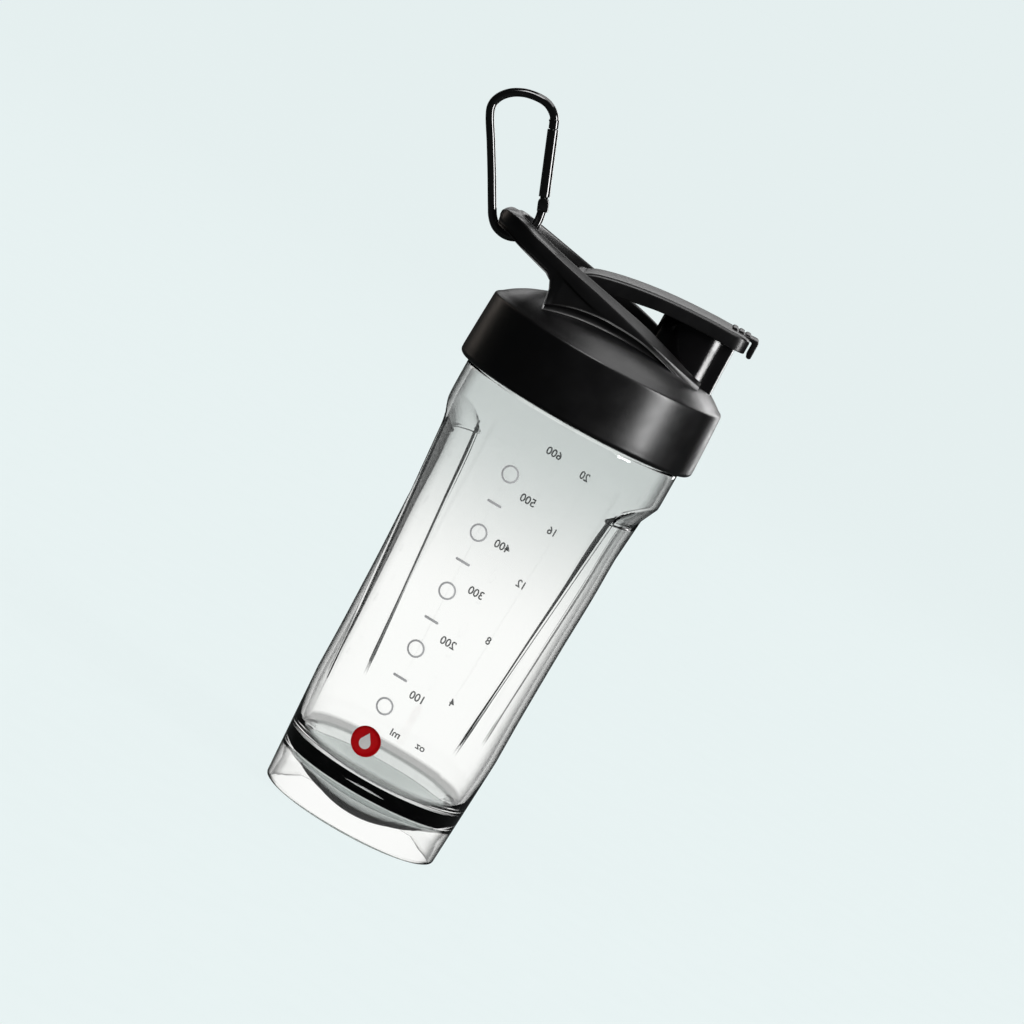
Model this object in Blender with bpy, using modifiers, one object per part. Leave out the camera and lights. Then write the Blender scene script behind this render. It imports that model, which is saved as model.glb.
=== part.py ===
"""Protein shaker bottle with a screw lid, a flip cap over its spout and a clip on its carry loop.

Lengths are in millimetres, and MM turns them into metres where an object is made. Most shapes are laid
out about the bottle's own axis; the empty named bottle_axis carries them to their place in the frame.
"""
import math

import bmesh
import bpy
from mathutils import Matrix, Vector

MM = 0.001
GAP = 0.3

# Frame: the bottle's axis stands off the origin, which is under the middle of the whole outline.
AXIS_X = 18.2

# Bottle
BASE_R = 36.5
BAND_R = 45.7
BAND_Z = 165.0
NECK_R = 44.6
MOUTH_Z = 199.0
SHOULDER_Z = 177.2
WALL = 2.4
FLOOR_Z = 2.4
FLOOR_JOIN_R = 34.0
FLOOR_JOIN_Z = 16.4
FLOOR_T = 5.0
FLOOR_TOP_R = 35.0
FLOOR_TOP_Z = 23.2
BOTTLE_YAW = math.radians(-11.8)

# Side grips: two opposite recesses in the wall
GRIP_LOW_Z = 46.0
GRIP_LEDGE_Z = 151.2
GRIP_DEEP_Z = 152.6
GRIP_TOP_Z = 163.0
GRIP_RAMP_DEPTH = 4.2
GRIP_DEPTHS = ((46.0, 0.0), (65.0, 1.0), (81.0, 1.6), (96.0, 2.1), (120.0, 2.6), (143.0, 3.5),
               (151.2, 3.2))
GRIP_LOW_HALF = 41.5
GRIP_TOP_HALF = 30.0
GRIP_STEP = 1.3
GRIP_COLUMNS = 4
PANEL_COLUMNS = 7

# Screw thread between neck and lid, two starts
THREAD_LEAD = 12.0
THREAD_STARTS = 2
THREAD_TURN = 234.0
THREAD_Z = 183.6
THREAD_STEPS = 26
NECK_RIDGE = 1.4
LID_RIDGE = 1.8
RIDGE_ROOT_HALF = 1.25
RIDGE_CREST_HALF = 0.55
RIDGE_SUNK = 0.9
RIDGE_START = 0.45
RIDGE_RUN_IN = 0.125

# Lid
LID_LOW_Z = 179.0
LID_R = 50.2
LID_EDGE_R = 49.3
LID_EDGE_Z = 204.4
LID_INNER_R = 46.9
SEAT_Z = 202.6
SEAT_INNER_R = 41.5
LID_STEPS = 56
DOME = ((0.0, 218.0), (12.0, 217.8), (20.0, 217.3), (28.4, 216.0), (35.0, 213.7), (40.0, 211.5),
        (44.5, 208.8), (48.5, 205.5), (LID_EDGE_R, LID_EDGE_Z))
DECK_T = 2.5

# Mixing grid and seal, clamped between neck and lid
GRID_R = 44.0
GRID_T = 1.0
GRID_RIB = 2.6
GRID_ROWS = ((6.0, 15.0, 6, 3), (17.5, 27.0, 10, 2), (29.5, 39.5, 16, 2))
SEAL_R = 46.4
SEAL_INNER_R = 42.2

# Spout and the flip cap over it
SPOUT_X = 26.2
SPOUT_R = 15.1
SPOUT_FOOT_R = 15.6
SPOUT_FOOT_Z = 207.0
SPOUT_BORE_R = 13.1
SPOUT_TOP_Z = 232.3
STOPPER_FLANGE_R = 14.2
STOPPER_PLUG_R = 12.7
HINGE_X = -24.0
HINGE_Z = 225.0
HINGE_PIN_R = 1.05
BARREL_R = 3.3
BARREL_HALF = 23.4
CAP_END_X = 44.6
CAP_HALF = 17.4
CAP_CORNER = 6.0
CAP_WALL = 1.7
CAP_PLATE = 1.9
CAP_TOP = ((-24.0, 228.1), (-20.5, 230.2), (-14.0, 232.2), (-6.5, 233.8), (1.0, 235.0), (8.6, 235.9),
           (16.0, 236.5), (24.0, 236.9), (31.0, 237.1), (38.7, 237.1), (CAP_END_X, 236.9))
CAP_UNDER = ((CAP_END_X, 231.2), (31.0, 231.2), (16.0, 230.6), (8.6, 230.0), (1.0, 228.7), (-6.5, 227.4),
             (-14.0, 225.4), (-20.5, 223.0), (-24.0, 222.2))
CAP_BLANK_LOW = 210.0
CAP_BLANK_HIGH = 250.0
TAB_HALF = 7.5
TOOTH_PLACES = (37.0, 39.7, 42.4)

# Carry loop
LOOP_OUTER = ((-62.0, 0.0), (-61.0, 9.0), (-58.0, 16.0), (-53.0, 21.5), (-46.0, 26.0), (-30.0, 30.2),
              (-15.0, 32.3), (-2.0, 33.0), (10.0, 31.8), (20.0, 28.6), (30.0, 23.5), (38.0, 18.6),
              (44.0, 10.0), (46.0, 0.0))
LOOP_INNER = ((-54.8, 0.0), (-53.8, 7.0), (-50.4, 13.0), (-44.0, 17.8), (-30.0, 23.4), (-15.0, 25.8),
              (-2.0, 26.4), (10.0, 25.0), (20.0, 22.0), (30.0, 18.0), (38.0, 14.0), (42.5, 7.0),
              (43.5, 0.0))
LOOP_SIDE = ((-62.6, 232.6), (-61.3, 235.8), (-58.5, 237.5), (-53.5, 237.0), (-48.7, 235.8), (-30.0, 231.7),
             (-6.5, 226.8), (8.5, 223.4), (23.6, 218.4), (31.0, 215.7), (38.0, 213.6), (38.0, 200.0),
             (-28.3, 200.0), (-28.3, 217.6), (-29.3, 220.8), (-32.0, 222.7), (-51.5, 228.1), (-57.5, 229.0),
             (-61.2, 230.6))
LOOP_BLANK_LOW = 195.0
LOOP_BLANK_HIGH = 250.0

# Clip: one bent wire with a sprung gate
WIRE_R = 1.72
CLIP_WIRE = ((-62.6, 274.9), (-66.0, 277.0), (-70.2, 277.5), (-75.6, 276.6), (-80.2, 274.3), (-83.5, 270.8),
             (-84.7, 266.8), (-83.3, 262.4), (-78.2, 254.0), (-72.2, 243.8), (-66.4, 233.6), (-63.8, 229.4),
             (-60.7, 226.7), (-56.6, 225.8), (-52.8, 226.8), (-49.9, 229.6), (-48.2, 233.4), (-48.0, 237.0))
CLIP_POINTS_BETWEEN = 3
SWING_X = -57.3
SWING_Z = 232.8
PIVOT_X = -49.6
PIVOT_Z = 243.6
GATE_TIP_X = -60.4
GATE_TIP_Z = 271.0
GATE_R = 2.15
GATE_SLOT = 1.1
NOSE_LENGTH = 5.0
NOSE_SLOT = 1.0
TONGUE_HALF = 0.8
TONGUE_WIDE = 1.45
RIVET_R = 0.75
CATCH_R = 0.5
CATCH_BACK = 2.2
SPRING_BORE_R = 1.2
SPRING_BORE_TOP = 18.0
PLUNGER_R = 0.85
PLUNGER_LOW = 2.5
PLUNGER_HIGH = 6.6
COIL_R = 0.7
COIL_WIRE_R = 0.17
COIL_TURNS = 6
COIL_STEPS = 9
WIDE = 3.0


def clear_scene():
    for obj in list(bpy.data.objects):
        bpy.data.objects.remove(obj, do_unlink=True)


def collection(name):
    made = bpy.data.collections.new(name)
    bpy.context.scene.collection.children.link(made)
    return made


def material(name, colour, roughness, metallic=0.0, alpha=1.0):
    made = bpy.data.materials.new(name)
    made.use_nodes = True
    made.diffuse_color = (*colour, alpha)
    shader = made.node_tree.nodes["Principled BSDF"]
    shader.inputs["Base Color"].default_value = (*colour, 1.0)
    shader.inputs["Roughness"].default_value = roughness
    shader.inputs["Metallic"].default_value = metallic
    shader.inputs["Alpha"].default_value = alpha
    return made


def empty(name, place, parent=None, tilt=0.0):
    """An unseen axis marker at (x, z) in the plane of symmetry, turned about Y by tilt."""
    made = bpy.data.objects.new(name, None)
    made.location = (place[0] * MM, 0.0, place[1] * MM)
    made.rotation_euler.y = tilt
    made.parent = parent
    PARTS.objects.link(made)
    return made


def place(obj, parent, finish=None):
    """Puts an object with the parts, or with the cutters where it has no finish.

    What hangs on the cap's or the clip's axis is laid out from the bottle's axis too, so that offset is
    taken out.
    """
    obj.parent = parent
    if parent in (CAP_AXIS, CLIP_AXIS):
        obj.matrix_parent_inverse = Matrix.Translation(-parent.location)
    if finish is None:
        CUTTERS.objects.link(obj)
        obj.hide_render = True
        obj.display_type = "WIRE"
        return obj
    PARTS.objects.link(obj)
    obj.data.materials.append(finish)
    obj.data.shade_smooth()
    obj.data.set_sharp_from_angle(angle=math.radians(35))
    return obj


def object_from(bm, name, parent, finish=None):
    bmesh.ops.recalc_face_normals(bm, faces=bm.faces)
    mesh = bpy.data.meshes.new(name)
    bm.to_mesh(mesh)
    bm.free()
    return place(bpy.data.objects.new(name, mesh), parent, finish)


def turned(name, profile, steps, parent, finish=None, at=(0.0, 0.0)):
    """A solid turned about Z from (radius, z) points, outer side first and from the top; at is (x, z)."""
    mesh = bpy.data.meshes.new(name)
    count = len(profile)
    on_axis = profile[0][0] == 0.0 and profile[-1][0] == 0.0
    edges = [(i, i + 1) for i in range(count - 1)]
    if not on_axis:
        edges.append((count - 1, 0))
    mesh.from_pydata([(r * MM, 0.0, z * MM) for r, z in profile], edges, [])
    obj = place(bpy.data.objects.new(name, mesh), parent, finish)
    obj.location = (at[0] * MM, 0.0, at[1] * MM)
    screw = obj.modifiers.new("turn", "SCREW")
    screw.steps = steps
    screw.render_steps = steps
    screw.use_merge_vertices = True
    screw.merge_threshold = 0.00001
    return obj


def cylinder_along_y(name, radius, half, at, parent, finish=None, sides=16):
    bm = bmesh.new()
    bmesh.ops.create_cone(bm, cap_ends=True, segments=sides, radius1=radius * MM, radius2=radius * MM,
                          depth=2 * half * MM)
    obj = object_from(bm, name, parent, finish)
    obj.rotation_euler.x = math.radians(90)
    obj.location = (at[0] * MM, 0.0, at[1] * MM)
    return obj


def rod(name, radius, low, high, parent, finish=None, sides=16):
    """A cylinder along the parent's Z from low to high."""
    bm = bmesh.new()
    bmesh.ops.create_cone(bm, cap_ends=True, segments=sides, radius1=radius * MM, radius2=radius * MM,
                          depth=(high - low) * MM)
    obj = object_from(bm, name, parent, finish)
    obj.location.z = (low + high) / 2 * MM
    return obj


def box(name, low, high, parent, finish=None):
    bm = bmesh.new()
    bmesh.ops.create_cube(bm, size=MM)
    size = Vector(high) - Vector(low)
    bmesh.ops.scale(bm, vec=size, verts=bm.verts)
    obj = object_from(bm, name, parent, finish)
    obj.location = (Vector(low) + Vector(high)) / 2 * MM
    return obj


def mesh_of(obj):
    """The evaluated shape of a curve object as a welded mesh."""
    bpy.context.view_layer.update()
    shape = obj.evaluated_get(bpy.context.evaluated_depsgraph_get())
    mesh = bpy.data.meshes.new_from_object(shape)
    bm = bmesh.new()
    bm.from_mesh(mesh)
    bmesh.ops.remove_doubles(bm, verts=bm.verts, dist=0.00001)
    bmesh.ops.recalc_face_normals(bm, faces=bm.faces)
    bm.to_mesh(mesh)
    bm.free()
    mesh.materials.clear()
    return mesh


def from_curve(curve, name, parent, finish):
    guide = bpy.data.objects.new(name + "_guide", curve)
    bpy.context.scene.collection.objects.link(guide)
    mesh = mesh_of(guide)
    bpy.data.objects.remove(guide, do_unlink=True)
    return place(bpy.data.objects.new(name, mesh), parent, finish)


def plate(name, outlines, low, high, parent, finish=None, smooth=0):
    """A flat plate between two heights from closed XY outlines, the later ones being holes."""
    curve = bpy.data.curves.new(name, "CURVE")
    curve.dimensions = "2D"
    curve.fill_mode = "BOTH"
    curve.extrude = (high - low) / 2 * MM
    curve.resolution_u = max(smooth, 1)
    for points in outlines:
        spline = curve.splines.new("BEZIER" if smooth else "POLY")
        knots = spline.bezier_points if smooth else spline.points
        knots.add(len(points) - 1)
        for knot, (x, y) in zip(knots, points):
            if smooth:
                knot.co = (x * MM, y * MM, 0.0)
                knot.handle_left_type = "AUTO"
                knot.handle_right_type = "AUTO"
            else:
                knot.co = (x * MM, y * MM, 0.0, 1.0)
        spline.use_cyclic_u = True
    obj = from_curve(curve, name, parent, finish)
    obj.location.z = (low + high) / 2 * MM
    return obj


def side_plate(name, outline, half, parent, finish=None):
    """A plate across the plane of symmetry, from one closed XZ outline, half thick to each side."""
    obj = plate(name, [outline], -half, half, parent, finish)
    obj.rotation_euler.x = math.radians(90)
    return obj


def mirrored(half):
    """A closed outline from the half with y above zero, whose first and last points are on y = 0."""
    return list(half) + [(x, -y) for x, y in reversed(half[1:-1])]


def combine(obj, operation, other):
    step = obj.modifiers.new(other.name, "BOOLEAN")
    step.operation = operation
    step.solver = "EXACT"
    step.object = other


def between(points, z):
    """The value at z on a line through (z, value) points of rising z."""
    for (z0, v0), (z1, v1) in zip(points, points[1:]):
        if z <= z1:
            return v0 + (v1 - v0) * (z - z0) / (z1 - z0)
    return points[-1][1]


def smooth_path(points, count):
    """Points along a Catmull-Rom curve through the given ones, count steps to each span."""
    ends = [2 * points[0] - points[1]] + points + [2 * points[-1] - points[-2]]
    path = []
    for a, b, c, d in zip(ends, ends[1:], ends[2:], ends[3:]):
        for step in range(count):
            t = step / count
            path.append(0.5 * (2 * b + (c - a) * t + (2 * a - 5 * b + 4 * c - d) * t ** 2
                               + (3 * b - a - 3 * c + d) * t ** 3))
    return path + [points[-1]]


# ---------------------------------------------------------------- bottle

def wall_radius(z):
    return BASE_R + (BAND_R - BASE_R) * min(z, BAND_Z) / BAND_Z


def grip_half_angle(z):
    share = min(max((z - GRIP_LOW_Z) / (GRIP_TOP_Z - GRIP_LOW_Z), 0.0), 1.0)
    return GRIP_LOW_HALF + (GRIP_TOP_HALF - GRIP_LOW_HALF) * share


def grip_depth(z, across):
    """Depth of a side grip, where across runs from 0 at its middle to 1 at its edge."""
    if z <= GRIP_LOW_Z or z >= GRIP_TOP_Z or across >= 1.0:
        return 0.0
    if z <= GRIP_LEDGE_Z:
        return between(GRIP_DEPTHS, z)
    up = max(z - GRIP_DEEP_Z, 0.0) / (GRIP_TOP_Z - GRIP_DEEP_Z)
    return GRIP_RAMP_DEPTH * max(1.0 - up / math.sqrt(1.0 - across ** 2), 0.0)


def ring_angles(z):
    """(angle, across) for each column round the bottle: close columns in a grip, wider ones between."""
    half = grip_half_angle(z)
    floor = half - GRIP_STEP
    quarter = [(floor * k / GRIP_COLUMNS, floor * k / GRIP_COLUMNS / half) for k in range(GRIP_COLUMNS + 1)]
    quarter += [(half + (90.0 - half) * k / PANEL_COLUMNS, 1.0) for k in range(PANEL_COLUMNS + 1)]
    last = len(quarter) - 1
    columns = []
    for start in (0.0, 180.0):
        columns += [(start + angle, across) for angle, across in quarter[:last]]
        columns += [(start + 180.0 - angle, across) for angle, across in reversed(quarter[1:])]
    return columns


def floor_height(r, centre, edge_r, edge_z):
    """Height of a shallow spherical bowl with its lowest point at centre."""
    rise = edge_z - centre
    sphere = (edge_r ** 2 + rise ** 2) / (2 * rise)
    return centre + sphere - math.sqrt(sphere ** 2 - r ** 2)


def bottle_rows():
    """(radius, z) down the outside, under the floor to the axis, then up the inside to the mouth."""
    outside = [(NECK_R - 0.9, MOUTH_Z), (NECK_R, MOUTH_Z - 0.8), (NECK_R, SHOULDER_Z + 1.2),
               (BAND_R - 0.4, SHOULDER_Z + 0.7), (BAND_R, SHOULDER_Z - 0.2), (BAND_R, 171.0)]
    levels = (BAND_Z, GRIP_TOP_Z, 160.8, 158.6, 156.4, 154.4, GRIP_DEEP_Z, GRIP_LEDGE_Z, 147.0, 141.0,
              128.0, 115.0, 102.0, 90.0, 78.0, 66.0, 56.0, GRIP_LOW_Z, 30.0, 15.0, 1.0)
    outside += [(wall_radius(z), z) for z in levels]
    rim = [(BASE_R - 0.6, 0.0), (BASE_R - 1.8, 0.0), (BASE_R - 2.2, 0.6),
           (FLOOR_JOIN_R + 0.9, FLOOR_JOIN_Z - 1.6)]
    under = [(r, floor_height(r, FLOOR_Z, FLOOR_JOIN_R, FLOOR_JOIN_Z))
             for r in (33.6, 28.0, 21.0, 14.0, 7.0)]
    over = [(r, floor_height(r, FLOOR_Z + FLOOR_T, FLOOR_TOP_R, FLOOR_TOP_Z))
            for r in (8.0, 16.0, 24.0, 31.0, 34.6)]
    inside = [(wall_radius(z) - WALL, z) for z in (FLOOR_TOP_Z + 1.4,) + tuple(reversed(levels[:-2]))]
    inside += [(BAND_R - 2.5, 171.0), (BAND_R - 2.5, MOUTH_Z - 0.5), (BAND_R - 2.1, MOUTH_Z)]
    return outside + rim + under, over + inside


def make_bottle():
    below, above = bottle_rows()
    bm = bmesh.new()
    rings = []
    for radius, z in below + above:
        ring = []
        for angle, across in ring_angles(z):
            depth = grip_depth(z, across) if radius > wall_radius(z) - 1.5 * WALL else 0.0
            turn = math.radians(angle)
            reach = (radius - depth) * MM
            ring.append(bm.verts.new((reach * math.cos(turn), reach * math.sin(turn), z * MM)))
        rings.append(ring)
    count = len(rings[0])
    poles = [bm.verts.new((0.0, 0.0, z * MM)) for z in (FLOOR_Z, FLOOR_Z + FLOOR_T)]
    split = len(below)
    for upper, lower in list(zip(rings, rings[1:])) + [(rings[-1], rings[0])]:
        if upper is rings[split - 1]:
            continue
        for i in range(count):
            j = (i + 1) % count
            bm.faces.new((upper[i], upper[j], lower[j], lower[i]))
    for pole, ring in zip(poles, (rings[split - 1], rings[split])):
        for i in range(count):
            bm.faces.new((ring[i], ring[(i + 1) % count], pole))
    obj = object_from(bm, "bottle_body", AXIS, CLEAR)
    obj.rotation_euler.z = BOTTLE_YAW
    ridges = thread_ridges("neck_ridges", NECK_R, NECK_RIDGE, 0.0)
    combine(obj, "UNION", ridges)


def thread_ridges(name, wall, height, phase):
    """Helical ridges that stand off a wall: outward for a positive height, inward for a negative one."""
    bm = bmesh.new()
    root = wall - math.copysign(RIDGE_SUNK, height)
    start_crest = wall - math.copysign(RIDGE_START, height)
    for start in range(THREAD_STARTS):
        sections = []
        for step in range(THREAD_STEPS + 1):
            share = step / THREAD_STEPS
            turn = math.radians(phase + start * 360.0 / THREAD_STARTS + share * THREAD_TURN)
            z = THREAD_Z + THREAD_LEAD * share * THREAD_TURN / 360.0
            rise = min(1.0, min(share, 1.0 - share) / RIDGE_RUN_IN)
            crest = start_crest + (wall + height - start_crest) * rise
            corners = ((root, -RIDGE_ROOT_HALF), (crest, -RIDGE_CREST_HALF), (crest, RIDGE_CREST_HALF),
                       (root, RIDGE_ROOT_HALF))
            sections.append([bm.verts.new((r * math.cos(turn) * MM, r * math.sin(turn) * MM, (z + dz) * MM))
                             for r, dz in corners])
        for a, b in zip(sections, sections[1:]):
            for i in range(4):
                j = (i + 1) % 4
                bm.faces.new((a[i], a[j], b[j], b[i]))
        bm.faces.new(sections[0])
        bm.faces.new(sections[-1])
    return object_from(bm, name, AXIS)


# ---------------------------------------------------------------- inside the lid

def sector(inner, outer, start, end, arcs):
    """Outline of a sector-shaped hole between two radii."""
    turns = [math.radians(start + (end - start) * k / arcs) for k in range(arcs + 1)]
    return ([(outer * math.cos(t), outer * math.sin(t)) for t in turns]
            + [(inner * math.cos(t), inner * math.sin(t)) for t in reversed(turns)])


def make_mixing_grid():
    """A flat disc with rings of holes: each of GRID_ROWS is inner radius, outer radius, count and arcs."""
    turns = [math.radians(a) for a in range(0, 360, 9)]
    rim = [(GRID_R * math.cos(t), GRID_R * math.sin(t)) for t in turns]
    holes = []
    for inner, outer, count, arcs in GRID_ROWS:
        pitch = 360.0 / count
        rib = math.degrees(2 * GRID_RIB / (inner + outer))
        holes += [sector(inner, outer, k * pitch + rib / 2, (k + 1) * pitch - rib / 2, arcs)
                  for k in range(count)]
    plate("mixing_grid", [rim] + holes, MOUTH_Z + GAP, MOUTH_Z + GAP + GRID_T, AXIS, GREY_PLASTIC)


def make_seal():
    low = MOUTH_Z + 2 * GAP + GRID_T
    high = SEAT_Z - GAP
    profile = ((SEAL_R, high), (SEAL_R, low + 0.4), (SEAL_R - 0.5, low), (SEAL_INNER_R + 0.5, low),
               (SEAL_INNER_R, low + 0.4), (SEAL_INNER_R, high))
    turned("lid_seal", profile, 48, AXIS, SILICONE)


# ---------------------------------------------------------------- lid

def make_lid():
    outside = list(DOME) + [(LID_R, LID_LOW_Z + 3.0), (LID_R - 0.4, LID_LOW_Z + 1.1),
                            (LID_R - 1.4, LID_LOW_Z + 0.2), (LID_R - 2.2, LID_LOW_Z), (0.0, LID_LOW_Z)]
    lid = turned("lid_shell", outside, LID_STEPS, AXIS, BLACK)
    spout_outside = ((0.0, SPOUT_TOP_Z), (SPOUT_R - 0.6, SPOUT_TOP_Z), (SPOUT_R, SPOUT_TOP_Z - 0.6),
                     (SPOUT_FOOT_R, SPOUT_FOOT_Z), (0.0, SPOUT_FOOT_Z))
    spout = turned("spout_form", spout_outside, 40, AXIS, at=(SPOUT_X, 0.0))
    inside = [(r, z - DECK_T) for r, z in DOME[:6]]
    inside += [(SEAT_INNER_R, SEAT_Z), (LID_INNER_R, SEAT_Z), (LID_INNER_R, LID_LOW_Z + 1.2),
               (LID_INNER_R + 0.9, LID_LOW_Z - 0.2), (LID_INNER_R + 0.9, LID_LOW_Z - 5.0),
               (0.0, LID_LOW_Z - 5.0)]
    cavity = turned("lid_cavity", inside, LID_STEPS, AXIS)
    bore = rod("spout_bore", SPOUT_BORE_R, SEAT_Z + 0.4, SPOUT_TOP_Z + 7.7, AXIS, sides=40)
    bore.location.x = SPOUT_X * MM
    combine(lid, "UNION", spout)
    combine(lid, "DIFFERENCE", cavity)
    combine(lid, "DIFFERENCE", bore)
    ridges = thread_ridges("lid_ridges", LID_INNER_R, -LID_RIDGE, 360.0 / THREAD_STARTS / 2)
    combine(lid, "UNION", ridges)


def make_carry_loop():
    loop = plate("carry_loop", [mirrored(LOOP_OUTER), mirrored(LOOP_INNER)], LOOP_BLANK_LOW,
                 LOOP_BLANK_HIGH, AXIS, BLACK, smooth=3)
    side = side_plate("loop_side", LOOP_SIDE, 50.0, AXIS)
    seat_profile = [(r, z + GAP) for r, z in DOME] + [(LID_R, 190.0), (0.0, 190.0)]
    seat = turned("loop_seat", seat_profile, LID_STEPS, AXIS)
    pin_hole = cylinder_along_y("pin_hole", HINGE_PIN_R + GAP, 28.6, (HINGE_X, HINGE_Z), AXIS)
    combine(loop, "INTERSECT", side)
    combine(loop, "DIFFERENCE", seat)
    combine(loop, "DIFFERENCE", pin_hole)


# ---------------------------------------------------------------- flip cap

def cap_outline(inset):
    """Plan of the flip cap, a broad tongue from the hinge to a round-cornered end."""
    half = CAP_HALF - inset
    end = CAP_END_X - inset
    corner = CAP_CORNER - inset
    turns = [math.radians(a) for a in range(0, 91, 18)]
    arc = [(end - corner + corner * math.sin(t), half - corner + corner * math.cos(t)) for t in turns]
    sides = [(-22.5, half - 0.6), (-10.0, half - 0.3), (6.0, half)]
    upper = [(-23.0, 0.0)] + sides + arc + [(end, 0.0)]
    return mirrored(upper)


def thumb_tab():
    """Side view of the grip pad and the tab that hangs in front of the cap's end."""
    teeth = []
    for x in TOOTH_PLACES:
        teeth += [(x, 238.1), (x + 0.3, 238.9), (x + 1.5, 238.9), (x + 1.8, 238.1)]
    return ([(32.5, 236.4), (32.5, 237.2)] + teeth
            + [(47.2, 238.1), (47.9, 237.4), (47.9, 230.4), (47.6, 230.0), (46.5, 230.0), (46.5, 235.6),
               (45.8, 236.4)])


def make_flip_cap():
    cap = plate("flip_cap", [cap_outline(0.0)], CAP_BLANK_LOW, CAP_BLANK_HIGH, CAP_AXIS, BLACK)
    side = side_plate("cap_side", list(CAP_TOP) + list(CAP_UNDER), 30.0, CAP_AXIS)
    hollow = plate("cap_hollow", [cap_outline(CAP_WALL)], CAP_BLANK_LOW, CAP_BLANK_HIGH, CAP_AXIS)
    roof = [(x, z - CAP_PLATE) for x, z in CAP_TOP[2:]]
    hollow_outline = roof + [(CAP_END_X, 215.0), (roof[0][0], 215.0)]
    hollow_side = side_plate("cap_hollow_side", hollow_outline, 30.0, CAP_AXIS)
    barrel = cylinder_along_y("cap_barrel", BARREL_R, BARREL_HALF, (HINGE_X, HINGE_Z), CAP_AXIS, sides=20)
    bore = cylinder_along_y("cap_bore", HINGE_PIN_R + GAP, 30.0, (HINGE_X, HINGE_Z), CAP_AXIS)
    tab = side_plate("cap_tab", thumb_tab(), TAB_HALF, CAP_AXIS)
    combine(hollow, "INTERSECT", hollow_side)
    combine(cap, "INTERSECT", side)
    combine(cap, "DIFFERENCE", hollow)
    combine(cap, "UNION", barrel)
    combine(cap, "UNION", tab)
    combine(cap, "DIFFERENCE", bore)
    cylinder_along_y("cap_hinge_pin", HINGE_PIN_R, 28.0, (HINGE_X, HINGE_Z), AXIS, STEEL)
    rim = SPOUT_TOP_Z
    flange = STOPPER_FLANGE_R
    plug = STOPPER_PLUG_R
    profile = ((0.0, rim + 1.9), (flange - 0.6, rim + 1.9), (flange, rim + 1.4), (flange, rim + GAP),
               (plug, rim + GAP), (plug - 0.2, rim - 2.4), (plug - 0.9, rim - 3.1), (0.0, rim - 3.1))
    turned("spout_stopper", profile, 36, CAP_AXIS, SILICONE, at=(SPOUT_X, 0.0))


# ---------------------------------------------------------------- clip

def make_clip():
    length = math.hypot(GATE_TIP_X - PIVOT_X, GATE_TIP_Z - PIVOT_Z)
    tilt = math.atan2(GATE_TIP_X - PIVOT_X, GATE_TIP_Z - PIVOT_Z)
    gate_root = empty("gate_pivot", (PIVOT_X, PIVOT_Z), CLIP_AXIS, tilt)
    gate_root.matrix_parent_inverse = Matrix.Translation(-CLIP_AXIS.location)
    along = Vector((math.sin(tilt), 0.0, math.cos(tilt)))
    pivot = Vector((PIVOT_X, 0.0, PIVOT_Z))
    nose = pivot + along * (length - NOSE_LENGTH)
    foot = pivot - along * 3.3
    knots = [nose, pivot + along * (length - 0.6)] + [Vector((x, 0.0, z)) for x, z in CLIP_WIRE] + [foot]
    path = smooth_path(knots, CLIP_POINTS_BETWEEN)
    curve = bpy.data.curves.new("clip_wire", "CURVE")
    curve.dimensions = "3D"
    curve.bevel_depth = WIRE_R * MM
    curve.bevel_resolution = 2
    curve.use_fill_caps = True
    spline = curve.splines.new("POLY")
    spline.points.add(len(path) - 1)
    for knot, point in zip(spline.points, path):
        knot.co = (*(point * MM), 1.0)
    frame = from_curve(curve, "clip_frame", CLIP_AXIS, GLOSS_BLACK)
    tongue = box("clip_tongue", (-TONGUE_WIDE, -TONGUE_HALF, -4.6), (TONGUE_WIDE, TONGUE_HALF, 1.5),
                 gate_root)
    tongue_bore = cylinder_along_y("tongue_bore", RIVET_R + GAP, WIDE, (0.0, 0.0), gate_root, sides=12)
    nose_slot = box("nose_slot", (-WIDE, -NOSE_SLOT, length - NOSE_LENGTH - 1.0),
                    (WIDE, NOSE_SLOT, length + 0.8), gate_root)
    catch_notch = box("catch_notch", (-WIDE, -WIDE, length - CATCH_BACK - 0.9),
                      (CATCH_R + 0.25, WIDE, length - CATCH_BACK + 0.9), gate_root)
    combine(frame, "UNION", tongue)
    combine(frame, "DIFFERENCE", tongue_bore)
    combine(frame, "DIFFERENCE", nose_slot)
    combine(frame, "DIFFERENCE", catch_notch)

    gate = rod("clip_gate", GATE_R, -1.6, length - NOSE_LENGTH - 0.4, gate_root, GLOSS_BLACK, sides=14)
    slot = box("gate_slot", (-WIDE, -GATE_SLOT, -WIDE), (WIDE, GATE_SLOT, 4.6), gate_root)
    spring_bore = rod("spring_bore", SPRING_BORE_R, 4.0, SPRING_BORE_TOP, gate_root, sides=12)
    rivet_bore = cylinder_along_y("rivet_bore", RIVET_R + GAP, WIDE, (0.0, 0.0), gate_root, sides=12)
    tip = box("gate_tip", (-1.0, GAP - NOSE_SLOT, length - 7.0), (1.0, NOSE_SLOT - GAP, length - 1.0),
              gate_root)
    catch_bore = cylinder_along_y("catch_bore", CATCH_R + 0.25, WIDE, (0.0, length - CATCH_BACK), gate_root,
                                  sides=10)
    combine(gate, "DIFFERENCE", slot)
    combine(gate, "DIFFERENCE", spring_bore)
    combine(gate, "DIFFERENCE", rivet_bore)
    combine(gate, "UNION", tip)
    combine(gate, "DIFFERENCE", catch_bore)

    cylinder_along_y("gate_rivet", RIVET_R, 2.0, (0.0, 0.0), gate_root, STEEL, sides=12)
    cylinder_along_y("gate_catch_pin", CATCH_R, 1.5, (0.0, length - CATCH_BACK), gate_root, STEEL, sides=10)
    rod("gate_plunger", PLUNGER_R, PLUNGER_LOW, PLUNGER_HIGH, gate_root, STEEL, sides=10)
    make_gate_spring(gate_root)


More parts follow.
